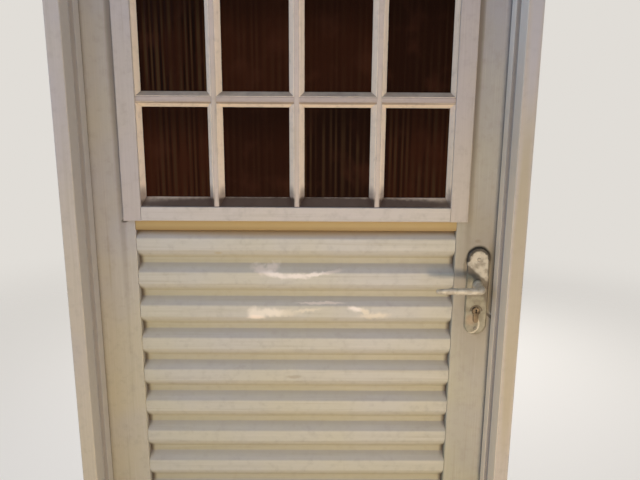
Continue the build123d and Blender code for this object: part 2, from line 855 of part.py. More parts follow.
# Latch bolt: bevelled head, thin tail over the follower and a hook that the follower pulls
with BuildPart() as latch_bolt:
    head_back = case_front - case_wall - latch_head_length
    head_tip = leaf_half + latch_throw
    with Locations((head_back, leaf_middle, latch_z)):
        Box(
            head_tip - head_back,
            latch_thickness,
            latch_height,
            align=(Align.MIN, Align.CENTER, Align.CENTER),
        )
    bevel_edge = latch_bolt.edges().filter_by(Axis.Z).sort_by(Axis.X)[-2:].sort_by(Axis.Y)[0]
    chamfer(bevel_edge, latch_thickness - 1.5, latch_throw - 1)
    hook_right = lock_x - follower_arm_width / 2 - latch_hook_gap
    tail_top = latch_z + latch_height / 2
    tail_bottom = spindle_height + follower_arm_top + 2
    with Locations((hook_right - latch_hook_width, latch_tail_y, tail_top)):
        Box(
            head_back - hook_right + latch_hook_width,
            latch_tail_thickness,
            tail_top - tail_bottom,
            align=(Align.MIN, Align.MIN, Align.MAX),
        )
    with Locations((hook_right, latch_tail_y, tail_top)):
        Box(
            latch_hook_width,
            cavity - 2 * slide_gap,
            tail_top - spindle_height - follower_radius - 2,
            align=(Align.MAX, Align.MIN, Align.MAX),
        )
write(latch_bolt, "latch_bolt")

# Dead bolt: block with a raised tail over the cylinder's cam
with BuildPart() as dead_bolt:
    block_back = leaf_half - slide_gap - bolt_length
    riser_front = case_front - case_wall - slide_gap - bolt_throw
    with Locations((block_back, leaf_middle, cylinder_z)):
        Box(bolt_length, bolt_thickness, bolt_height, align=(Align.MIN, Align.CENTER, Align.CENTER))
    tail_low = cylinder_z + cam_reach + cam_gap
    with Locations((lock_x - cylinder_radius, leaf_middle, tail_low)):
        Box(
            riser_front - lock_x + cylinder_radius,
            latch_tail_thickness,
            bolt_tail_height,
            align=(Align.MIN, Align.CENTER, Align.MIN),
        )
    with Locations((block_back, leaf_middle, cylinder_z)):
        Box(
            riser_front - block_back,
            latch_tail_thickness,
            cam_reach + cam_gap + bolt_tail_height,
            align=(Align.MIN, Align.CENTER, Align.MIN),
        )
write(dead_bolt, "dead_bolt")

# Follower: hub on two trunnions, an upper arm for the latch and a side arm for the spring
with BuildPart() as follower:
    with BuildSketch(facing_plane(leaf_middle)):
        Circle(follower_radius)
        with Locations((0, follower_arm_top / 2)):
            Rectangle(follower_arm_width, follower_arm_top)
        with Locations((-return_arm / 2, 0)):
            Rectangle(return_arm, return_arm_thickness)
    extrude(amount=(cavity - 2 * slide_gap) / 2, both=True)
    with BuildSketch(facing_plane(leaf_middle)):
        Circle(trunnion_radius)
    extrude(amount=case_thickness / 2, both=True)
    with BuildSketch(facing_plane(leaf_middle)):
        Rectangle(spindle_size + 2 * spindle_fit, spindle_size + 2 * spindle_fit)
    extrude(amount=case_thickness, both=True, mode=Mode.SUBTRACT)
write(follower, "follower")

with BuildPart() as spindle:
    with BuildSketch(facing_plane(leaf_middle)):
        Rectangle(spindle_size, spindle_size)
    extrude(amount=leaf_thickness / 2 + spindle_insert, both=True)
write(spindle, "spindle")

# Return spring under the follower's side arm
with BuildPart() as lever_spring:
    spring_height = spring_top_z - spring_seat_z - 2 * slide_gap
    with BuildLine(Plane(origin=(spring_x, leaf_middle, spring_seat_z + slide_gap + spring_wire / 2))) as coil:
        Helix(
            pitch=(spring_height - spring_wire) / spring_turns,
            height=spring_height - spring_wire,
            radius=spring_radius - spring_wire / 2,
        )
    coil_start = coil.line @ 0
    with BuildSketch(Plane(origin=coil_start, z_dir=coil.line % 0)):
        RegularPolygon(spring_wire / 2, 6)
    sweep(path=coil.line, is_frenet=True)
write(lever_spring, "lever_spring")


# Cylinder, its two plugs and the cam between them
cylinder_front = outer_face - cylinder_proud
cylinder_back = inner_face + cylinder_proud
cylinder_plane = facing_plane(cylinder_back, z=cylinder_z)

with BuildPart() as cylinder_body:
    extrude(cylinder_outline(cylinder_plane, 0), amount=cylinder_back - cylinder_front)
    with BuildSketch(cylinder_plane):
        Circle(plug_radius + pin_running)
    extrude(amount=cylinder_back - cylinder_front, mode=Mode.SUBTRACT)
    with Locations((lock_x, leaf_middle, cylinder_z - cam_reach - cam_gap)):
        Box(
            3 * cylinder_radius,
            cam_thickness + 2 * cam_gap,
            3 * cam_reach,
            align=(Align.CENTER, Align.CENTER, Align.MIN),
            mode=Mode.SUBTRACT,
        )
    with BuildSketch(Plane.YZ.offset(lock_x - cylinder_leg)):
        with Locations((leaf_middle, cylinder_screw_z)):
            Circle(cylinder_screw_radius + pin_running)
    extrude(amount=2 * cylinder_leg, mode=Mode.SUBTRACT)
write(cylinder_body, "cylinder_body")


def cylinder_plug(name, face, side):
    """A plug from one face of the cylinder to the cam, with its keyway."""
    plane = Plane(origin=(lock_x, face, cylinder_z), x_dir=(1, 0, 0), z_dir=(0, -side, 0))
    reach = abs(face - leaf_middle) - cam_thickness / 2
    with BuildPart() as plug:
        with BuildSketch(plane):
            Circle(plug_radius)
        extrude(amount=reach)
        with BuildSketch(plane):
            Rectangle(keyway_width, keyway_height)
        extrude(amount=keyway_depth, mode=Mode.SUBTRACT)
    write(plug, name)


cylinder_plug("outer_plug", cylinder_front, -1)
cylinder_plug("inner_plug", cylinder_back, 1)

with BuildPart() as cam:
    with BuildSketch(facing_plane(leaf_middle, z=cylinder_z)):
        Circle(plug_radius)
        with Locations((0, -cam_reach / 2)):
            Rectangle(plug_radius, cam_reach)
        with Locations((0, 0)):
            Circle(cam_reach, mode=Mode.INTERSECT)
    extrude(amount=cam_thickness / 2, both=True)
write(cam, "cylinder_cam")


# Long plates and lever handles, outside and inside
def escutcheon(name, seat, side):
    """Round-ended plate on one face of the leaf; side is -1 outside and 1 inside."""
    plane = Plane(origin=(lock_x, seat, spindle_height), x_dir=(-side, 0, 0), z_dir=(0, side, 0))
    centre = (plate_above_spindle - plate_below_spindle) / 2
    plate_length = plate_above_spindle + plate_below_spindle
    front = Plane(
        origin=(lock_x, seat + side * plate_thickness, spindle_height),
        x_dir=(-side, 0, 0),
        z_dir=(0, side, 0),
    )
    with BuildPart() as plate:
        with BuildSketch(plane):
            with Locations((0, centre)):
                SlotOverall(plate_length, plate_width, rotation=90)
        extrude(amount=plate_thickness)
        chamfer(plate.faces().sort_by(Axis.Y)[-1 if side > 0 else 0].edges(), plate_edge)
        with BuildSketch(plane):
            Circle(lever_neck_radius + lever_gap)
        extrude(amount=plate_thickness, mode=Mode.SUBTRACT)
        extrude(
            cylinder_outline(facing_plane(seat, z=cylinder_z), slide_gap),
            amount=2 * plate_thickness,
            both=True,
            mode=Mode.SUBTRACT,
        )
        with Locations(front):
            with Locations(*[(0, height - spindle_height) for height in plate_screw_heights]):
                CounterSinkHole(screw_radius + pin_running, screw_head_radius + pin_running)
    write(plate, name)


escutcheon("outer_escutcheon", leaf_front, -1)
escutcheon("inner_escutcheon", leaf_back, 1)

escutcheon_screw_planes = [
    Plane(origin=(lock_x, face, height), z_dir=(0, side, 0))
    for face, side in ((outer_face, -1), (inner_face, 1))
    for height in plate_screw_heights
]
countersunk_screws("escutcheon_screws", escutcheon_screw_planes, screw_radius, screw_length)


def lever_handle(name, seat, side):
    """Neck out of the plate, an elbow and a tapering arm towards the hinges."""
    arm_y = seat + side * (plate_thickness + lever_standoff)
    neck_base = seat + side * lever_gap
    arm_root_x = lock_x - lever_bend - lever_elbow_land
    with BuildPart() as lever:
        with BuildLine(Plane.XY.offset(spindle_height)) as elbow:
            FilletPolyline(
                (lock_x, neck_base), (lock_x, arm_y), (arm_root_x, arm_y), radius=lever_bend
            )
        with BuildSketch(Plane(origin=elbow.line @ 0, x_dir=(1, 0, 0), z_dir=(0, side, 0))):
            RectangleRounded(lever_width, lever_height, lever_height / 2 - lever_flat)
        sweep(path=elbow.line)
        arm_root = Plane(origin=(arm_root_x, arm_y, spindle_height), x_dir=(0, side, 0), z_dir=(-1, 0, 0))
        with BuildSketch(arm_root):
            RectangleRounded(lever_width, lever_height, lever_height / 2 - lever_flat)
        with BuildSketch(arm_root.offset(lever_length + arm_root_x - lock_x)):
            RectangleRounded(lever_tip_width, lever_tip_height, lever_tip_height / 2 - lever_flat)
        loft(ruled=True)
        chamfer(lever.faces().sort_by(Axis.X)[0].edges(), lever_tip_round)
        neck = Plane(origin=(lock_x, neck_base, spindle_height), x_dir=(1, 0, 0), z_dir=(0, side, 0))
        with BuildSketch(neck):
            Circle(lever_neck_radius)
        extrude(amount=lever_standoff / 2 + plate_thickness)
        collar = neck.offset(plate_thickness)
        with BuildSketch(collar):
            Circle(lever_collar_radius)
        extrude(amount=lever_collar_height, taper=8)
        with BuildSketch(neck):
            Rectangle(spindle_size + 2 * spindle_fit, spindle_size + 2 * spindle_fit)
        extrude(amount=spindle_insert + spindle_fit - lever_gap, mode=Mode.SUBTRACT)
    write(lever, name)


lever_handle("outer_lever", leaf_front, -1)
lever_handle("inner_lever", leaf_back, 1)

# Strike plate on the lock jamb's rebate
strike_face = rebate_half - strike_thickness

with BuildPart() as strike_plate:
    with Locations((rebate_half, leaf_middle, faceplate_z)):
        Box(strike_thickness, strike_width, strike_height, align=(Align.MAX, Align.CENTER, Align.CENTER))
    with Locations((rebate_half, leaf_middle, latch_z)):
        Box(9, latch_thickness + 2 * strike_window_gap, latch_height + 2 * strike_window_gap, mode=Mode.SUBTRACT)
    with Locations((rebate_half, leaf_middle, cylinder_z)):
        Box(9, bolt_thickness + 2 * strike_window_gap, bolt_height + 2 * strike_window_gap, mode=Mode.SUBTRACT)
    strike_planes = [
        Plane(origin=(strike_face, leaf_middle, z), z_dir=(-1, 0, 0)) for z in strike_screw_heights
    ]
    with Locations(*strike_planes):
        CounterSinkHole(screw_radius + pin_running, screw_head_radius + pin_running, depth=9)
write(strike_plate, "strike_plate")
countersunk_screws("strike_screws", strike_planes, screw_radius, screw_length)
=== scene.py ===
"""Looks of a glazed steel door with its frame: painted folded sheet, reeded glass, worn handles."""
import math
import bmesh
import bpy
from mathutils import Matrix, Vector


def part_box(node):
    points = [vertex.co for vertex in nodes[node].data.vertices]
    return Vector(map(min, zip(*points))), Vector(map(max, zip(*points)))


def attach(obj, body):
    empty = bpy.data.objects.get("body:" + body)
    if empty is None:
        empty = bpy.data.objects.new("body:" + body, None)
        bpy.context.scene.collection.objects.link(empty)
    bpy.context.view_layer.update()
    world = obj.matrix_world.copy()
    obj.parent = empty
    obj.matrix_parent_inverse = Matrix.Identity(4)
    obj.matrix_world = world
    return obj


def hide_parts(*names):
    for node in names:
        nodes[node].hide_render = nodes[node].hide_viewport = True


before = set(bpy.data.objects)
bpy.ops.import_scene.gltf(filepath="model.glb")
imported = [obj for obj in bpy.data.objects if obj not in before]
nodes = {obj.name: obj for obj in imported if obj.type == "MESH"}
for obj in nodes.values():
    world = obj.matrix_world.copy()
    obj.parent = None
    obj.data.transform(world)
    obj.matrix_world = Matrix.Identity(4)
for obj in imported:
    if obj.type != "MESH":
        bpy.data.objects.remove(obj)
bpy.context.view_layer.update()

MM = 0.001

# Camera, fitted to the straight lines of the photograph: metres, degrees, and mm for lens and sensor
CAMERA_PLACE = Vector((0.0397, -1.180, 1.417))
CAMERA_PITCH_DOWN = 12.14
CAMERA_YAW_RIGHT = 0.37
CAMERA_ROLL = 0.34
LENS = 33.75
SENSOR = 36.0

# Stage: the floor shows the camera a little of its own colour, and the sky is paler to the camera and in
# reflections than it is as light
FLOOR_COLOUR = "#dcd7d0"
FLOOR_RADIUS = 6.0
FLOOR_CORNERS = 96
FLOOR_FADE_START = 0.25 * FLOOR_RADIUS
FLOOR_FADE_END = 0.9 * FLOOR_RADIUS
FLOOR_LIFT = 0.3
SKY_COLOUR = "#e6e2dc"
SKY_STRENGTH = 0.95
SKY_LIGHT_COLOUR = "#f2f3f5"
SKY_LIGHT = 0.42

# Lamps: name, place, target, width and height, watts, colour, and the light's spread in degrees
LAMPS = [
    ("front_softbox", (0.1, -2.9, 1.0), (0.0, 0.0, 1.15), (2.2, 1.2), 2.5, "#fffaf3", 180),
    ("low_warm_lamp", (0.6, -2.0, 0.2), (0.0, 0.0, 1.1), (0.6, 0.5), 6.2, "#ffe2bc", 75),
    ("high_cool_lamp", (-1.8, -1.45, 2.0), (0.1, 0.0, 1.45), (1.7, 1.5), 22, "#bed7ff", 180),
    ("right_cool_lamp", (2.1, -1.0, 1.9), (-0.2, 0.0, 1.4), (0.8, 1.2), 8, "#bcd5ff", 180),
    ("back_fill", (0.6, 3.2, 2.2), (0.0, 0.0, 1.1), (2.0, 2.0), 70, "#ffffff", 180),
]

# Lever handles: reach out of the door, elbow, and sizes along neck and arm
LEVER_REACH = 49.7 * MM
LEVER_BEND = 14 * MM
LEVER_BEND_STEPS = 8
LEVER_COLLAR = 10.5 * MM
LEVER_SIDES = 28
# Power of the section's outline: 2 is an ellipse, and more is squarer
LEVER_NECK_POWER = 2.0
LEVER_ARM_POWER = 2.5
LEVER_SHARP_DEGREES = 38
# Distance out and radius in mm
LEVER_NECK = [(0, 8.0), (4.0, 8.0), (4.1, 10.3), (4.9, 10.5), (11.5, 9.6), (12.6, 9.0), (13.1, 8.0),
              (14.7, 7.7), (22, 7.3), (35.7, 7.2)]
# Part of the arm's length, half depth and half height in mm
LEVER_ARM = [(0.05, 7.0, 6.3), (0.2, 6.9, 6.5), (0.4, 6.6, 6.4), (0.6, 6.2, 6.0), (0.8, 5.6, 5.3),
             (0.92, 5.1, 4.6), (0.97, 4.5, 3.9), (0.99, 3.4, 2.9), (1.0, 1.9, 1.6)]

# Reeded glass
PANE_THICKNESS = 4 * MM
REED_PITCH = 12.5 * MM
REED_DEPTH = 0.5 * MM
REED_STEPS = 97
# Bars between the panes: half the gap that one leaves, the lowest cross bar's height, and the rows' pitch
BAR_CLEAR_HALF = 6.75 * MM
BAR_HEIGHT = 1437.7 * MM
PANE_ROW_PITCH = 201.8 * MM
# How plainly each pane shows its streaks, the painted light and shade of its reeds, and how red it is: rows
# from the bottom, panes from the left
PANE_STREAKS = [(0.6, 0.15, 0.75, 0.7), (1.0, 0.25, 0.2, 0.2), (0.4, 0.7, 0.3, 0.5), (0.3, 0.5, 0.8, 0.4)]
PANE_REDNESS = [(1.0, 0.45, 0.2, 0.8), (0.55, 0.75, 0.6, 0.2), (0.4, 0.6, 0.3, 0.7), (0.5, 0.2, 0.6, 0.4)]

# Ribbed sheet, as it is folded: each rib from its top down
RIB_COUNT = 15
RIB_PITCH = 70 * MM
RIB_RISE = 17.5 * MM
RIB_CREST = 23.5 * MM
RIB_CREST_FALL = 1.4 * MM
RIB_FALL = 17 * MM
RIB_SOFT_BEND = 5.5 * MM
RIB_BEND_STEPS = 5
RIB_SHEET = 1.0 * MM
RIB_WIDTH = 636 * MM
RIB_COLUMNS = 65
RIB_WAVE = 0.35 * MM
RIB_WAVES_PER_METRE = 9.0
RIB_SHARP_DEGREES = 35
DENT_PLACE = (-5.5 * MM, 0.0, 878.5 * MM)
DENT_REACH = 26 * MM
DENT_DEPTH = 2.6 * MM
# How much a step along X, Y and Z counts as a step away from the dent
DENT_SHAPE = (1.0, 0.0, 1.6)
# Points this near to each other become one
MERGE_GAP = 0.01 * MM

# Enamel: shades that every coat of it shares, and the sizes of its patterns in mm
MOTTLE_SHADE = "#877d74"
BRISTLE_SHADE = "#cdc5bb"
STROKE_SHADE = "#8b8069"
# Painted shadow at the ribs' ends, where the stiles' edges shade the hollows
RIB_END_PAINTED_SHADOW = "#4b3d33"
# Painted shade with dirt, for corners
CORNER_SHADE_AND_GRIME = "#54473a"
WORN_EDGE_SHADE = "#dcd4c8"
DRIFT = 230
MOTTLE = 16
# Real bristle marks are under 1 mm wide, and these are as broad as they need to be to show
BRISTLE_MARK = {"X": (170, 2.4, 2.4), "Z": (2.4, 2.4, 170)}
BRUSH_STROKE = {"X": (320, 9, 9), "Z": (9, 9, 320)}
DUST_PATCH = 34
WORN_PATCH = 24
# Heights in m above which the paint is at its coolest and below which it is at its warmest
COOL_ABOVE = 1.85
WARM_BELOW = 0.35
# Distance from the door's middle line, in mm, over which a rib's hollow darkens to its end: a painted shadow
# of the stile's edge
RIB_END_START = 307
RIB_END_FULL = 316
ENAMEL_CORNER = 14
ENAMEL_EDGE = 1.4
ENAMEL_RELIEF = 0.22
ENAMEL_IOR = 1.48

# Sizes in mm of the patterns on glass and metal. Real scratches are about 0.1 mm wide, and these are
# broader, so that they show
REED_SWAY = (26, 60, 4000)
REED_STREAK = (30, 60, 160)
GLASS_CLOUD = (60, 90, 70)
GLASS_HAZE = 20
GLASS_DIMPLE = 3.5
GLASS_RELIEF = 0.15
GLASS_IOR = 1.52
METAL_MOTTLE = 11
SCRATCH = (14, 0.6, 0.6)
METAL_CORNER = 5
METAL_EDGE = 0.7
METAL_RELIEF = 0.08
PLATE_MOTTLE = 12
PLATE_EDGE = 1.2
PLATE_RELIEF = 0.25

# Painted shadow of the lever's neck on the plate, whose middle line also sets where the bare dome begins: x
# and z in mm of a point of its middle line, the direction across it, and the length and reach in mm of the
# waves of its outline
NECK_SHADOW_POINT = (342.6, 1110.5)
NECK_SHADOW_ACROSS = (0.639, 0.0, 0.769)
NECK_SHADOW_PLACE = (NECK_SHADOW_ACROSS[0] * NECK_SHADOW_POINT[0] + NECK_SHADOW_ACROSS[2] * NECK_SHADOW_POINT[1]) * MM
NECK_SHADOW_WAVE = 14
NECK_SHADOW_SWAY = 2

# Marks: the size in mm of the ragged bits of their outlines, how deep they reach into the door in m, and the
# normals' Y between which they fade out, so that they lie on the outside only
RAGGED_BIT = 9
MARK_DEPTH = 10.0
MARK_NONE_AT = 0.3
MARK_FULL_AT = 0.1
# Noise seldom leaves the middle third of its range, so it is stretched by this much
NOISE_STRETCH = 3

# Settings that many nodes share
RGBA = {"data_type": "RGBA"}
SMOOTH = {"interpolation_type": "SMOOTHSTEP"}
TIMES = {"operation": "MULTIPLY"}
TIMES_PLUS = {"operation": "MULTIPLY_ADD"}
MINUS = {"operation": "SUBTRACT"}
GREATER = {"operation": "MAXIMUM"}
UNSIGNED = {"operation": "ABSOLUTE"}
LENGTH = {"operation": "LENGTH"}
DOT = {"operation": "DOT_PRODUCT"}


def linear(text):
    """An sRGB hex colour as linear red, green, blue and alpha."""
    channels = [int(text[i:i + 2], 16) / 255 for i in (1, 3, 5)]
    return [c / 12.92 if c <= 0.04045 else ((c + 0.055) / 1.055) ** 2.4 for c in channels] + [1.0]


def add_node(tree, kind, settings=None, sockets=None, out=None):
    """Adds a node with its settings, and sets each socket, by name or in order, to a value or links it to
    another node's output. Gives the node, or the output that is asked for."""
    made = tree.nodes.new(kind)
    for name, value in (settings or {}).items():
        setattr(made, name, value)
    given = sockets if isinstance(sockets, dict) else dict(enumerate(sockets or ()))
    for key, value in given.items():
        if isinstance(value, bpy.types.NodeSocket):
            tree.links.new(value, made.inputs[key])
        else:
            made.inputs[key].default_value = value
    return made if out is None else made.outputs[out]


def new_object(name, data):
    """A new object of the scene, with its mesh, camera or lamp."""
    made = bpy.data.objects.new(name, data)
    bpy.context.scene.collection.objects.link(made)
    return made


def make_camera():
    """The photograph's camera: place, direction, roll and angle of view."""
    yaw = math.radians(CAMERA_YAW_RIGHT)
    pitch = math.radians(CAMERA_PITCH_DOWN)
    roll = math.radians(CAMERA_ROLL)
    ahead = Vector((math.sin(yaw) * math.cos(pitch), math.cos(yaw) * math.cos(pitch), -math.sin(pitch)))
    level = Vector((math.cos(yaw), -math.sin(yaw), 0.0))
    above = level.cross(ahead)
    right = math.cos(roll) * level + math.sin(roll) * above
    up = -math.sin(roll) * level + math.cos(roll) * above
    data = bpy.data.cameras.new("camera")
    data.lens = LENS
    data.sensor_width = SENSOR
    camera = new_object("camera", data)
    turn = Matrix((right, up, -ahead)).transposed().to_4x4()
    camera.matrix_world = Matrix.Translation(CAMERA_PLACE) @ turn
    bpy.context.scene.camera = camera


def make_lamps():
    """The soft lamps, each turned to its target."""
    for name, place, target, size, power, colour, spread in LAMPS:
        data = bpy.data.lights.new(name, "AREA")
        data.shape = "RECTANGLE"
        data.size, data.size_y = size
        data.energy = power
        data.spread = math.radians(spread)
        data.color = linear(colour)[:3]
        lamp = new_object(name, data)
        lamp.location = place
        lamp.rotation_euler = (Vector(target) - Vector(place)).to_track_quat("-Z", "Y").to_euler()


def make_world():
    """Pale to the camera and in reflections, and a lower even light on the object."""
    world = bpy.data.worlds.new("studio")
    world.use_nodes = True
    tree = world.node_tree
    tree.nodes.clear()
    rays = add_node(tree, "ShaderNodeLightPath").outputs
    seen = rays["Is Camera Ray"]
    for ray in ("Is Transmission Ray", "Is Glossy Ray"):
        seen = add_node(tree, "ShaderNodeMath", GREATER, [seen, rays[ray]], 0)
    lit = add_node(tree, "ShaderNodeBackground", None, [linear(SKY_LIGHT_COLOUR), SKY_LIGHT], 0)
    pale = add_node(tree, "ShaderNodeBackground", None, [linear(SKY_COLOUR), SKY_STRENGTH], 0)
    both = add_node(tree, "ShaderNodeMixShader", None, [seen, lit, pale], 0)
    add_node(tree, "ShaderNodeOutputWorld", None, {"Surface": both})
    bpy.context.scene.world = world


def make_floor():
    """A pale floor that fades into the backdrop's colour away from the door."""
    turns = [2 * math.pi * i / FLOOR_CORNERS for i in range(FLOOR_CORNERS)]
    ring = [(FLOOR_RADIUS * math.cos(turn), FLOOR_RADIUS * math.sin(turn), 0) for turn in turns]
    mesh = bpy.data.meshes.new("floor")
    mesh.from_pydata(ring, [], [list(range(FLOOR_CORNERS))])
    floor = new_object("floor", mesh)
    material = bpy.data.materials.new("pale studio floor")
    material.use_nodes = True
    tree = material.node_tree
    tree.nodes.clear()
    here = add_node(tree, "ShaderNodeTexCoord", out="Object")
    away = add_node(tree, "ShaderNodeVectorMath", LENGTH, [here], "Value")
    fade = add_node(tree, "ShaderNodeMapRange", SMOOTH, [away, FLOOR_FADE_START, FLOOR_FADE_END], 0)
    pale = add_node(tree, "ShaderNodeBsdfDiffuse", None, [linear(FLOOR_COLOUR)], 0)
    seen = add_node(tree, "ShaderNodeLightPath", out="Is Camera Ray")
    lift = add_node(tree, "ShaderNodeMath", TIMES, [seen, FLOOR_LIFT], 0)
    glow = add_node(tree, "ShaderNodeEmission", None, [linear(FLOOR_COLOUR), lift], 0)
    shown = add_node(tree, "ShaderNodeAddShader", None, [pale, glow], 0)
    clear = add_node(tree, "ShaderNodeBsdfTransparent", out=0)
    both = add_node(tree, "ShaderNodeMixShader", None, [fade, shown, clear], 0)
    add_node(tree, "ShaderNodeOutputMaterial", None, {"Surface": both})
    mesh.materials.append(material)


def new_material(name):
    """A new material, its node tree and its shader."""
    material = bpy.data.materials.new(name)
    material.use_nodes = True
    tree = material.node_tree
    return material, tree, tree.nodes["Principled BSDF"]


def drawn_out(tree, place, sizes_mm, detail, roughness=0.5):
    """An uneven pattern with features of about the given sizes along X, Y and Z, such as brush marks."""
    scales = [1 / (size * MM) for size in sizes_mm]
    scaled = add_node(tree, "ShaderNodeMapping", None, {"Vector": place, "Scale": scales}, 0)
    return add_node(tree, "ShaderNodeTexNoise", None,
                    {"Vector": scaled, "Scale": 1.0, "Detail": detail, "Roughness": roughness}, "Fac")


def shade_and_dirt_in_corners(tree, reach_mm, open_at, shut_at, strength):
    """How much painted shade and dirt a place gets: none in the open, and up to the strength deep in a
    corner.
    """
    corner = add_node(tree, "ShaderNodeAmbientOcclusion", {"samples": 6}, {"Distance": reach_mm * MM}, "AO")
    return add_node(tree, "ShaderNodeMapRange", SMOOTH, [corner, open_at, shut_at, 0.0, strength], 0)


def wavered(tree, place, size_mm, reach_mm):
    """The place, pushed about by noise, so that what is drawn there gets an uneven outline."""
    push = add_node(tree, "ShaderNodeTexNoise", None,
                    {"Vector": place, "Scale": 1 / (size_mm * MM), "Detail": 4.0}, "Color")
    centred = add_node(tree, "ShaderNodeVectorMath", MINUS, [push, (0.5, 0.5, 0.5)], 0)
    reach = (NOISE_STRETCH * reach_mm * MM,) * 3
    return add_node(tree, "ShaderNodeVectorMath", TIMES_PLUS, [centred, reach, place], 0)


def spots(tree, place, shapes, softness):
    """How far a place lies inside any of some leaning ovals: centre x and z, half length and height, lean."""
    inside = 0.0
    for x, z, half_x, half_z, lean in shapes:
        turned = add_node(tree, "ShaderNodeMapping", {"vector_type": "TEXTURE"},
                          {"Vector": place, "Location": (x * MM, 0.0, z * MM),
                           "Rotation": (0.0, math.radians(-lean), 0.0),
                           "Scale": (half_x * MM, MARK_DEPTH, half_z * MM)}, 0)
        reach = add_node(tree, "ShaderNodeVectorMath", LENGTH, [turned], "Value")
        oval = add_node(tree, "ShaderNodeMapRange", SMOOTH, [reach, 1 + softness, 1 - softness], 0)
        inside = add_node(tree, "ShaderNodeMath", GREATER, [inside, oval], 0)
    return inside


def marked(tree, place, normal, colour, marks):
    """Lays marks on the outside of the door: shade, strength, softness, raggedness and ovals of each."""
    facing = add_node(tree, "ShaderNodeSeparateXYZ", None, [normal], "Y")
    for shade, strength, softness, ragged, shapes in marks:
        there = wavered(tree, place, RAGGED_BIT, ragged) if ragged else place
        inside = spots(tree, there, shapes, softness)
        outward = add_node(tree, "ShaderNodeMapRange", SMOOTH,
                           [facing, MARK_NONE_AT, MARK_FULL_AT, 0.0, strength], 0)
        cover = add_node(tree, "ShaderNodeMath", TIMES, [inside, outward], 0)
        colour = add_node(tree, "ShaderNodeMix", RGBA, {0: cover, 6: colour, 7: linear(shade)}, 2)
    return colour


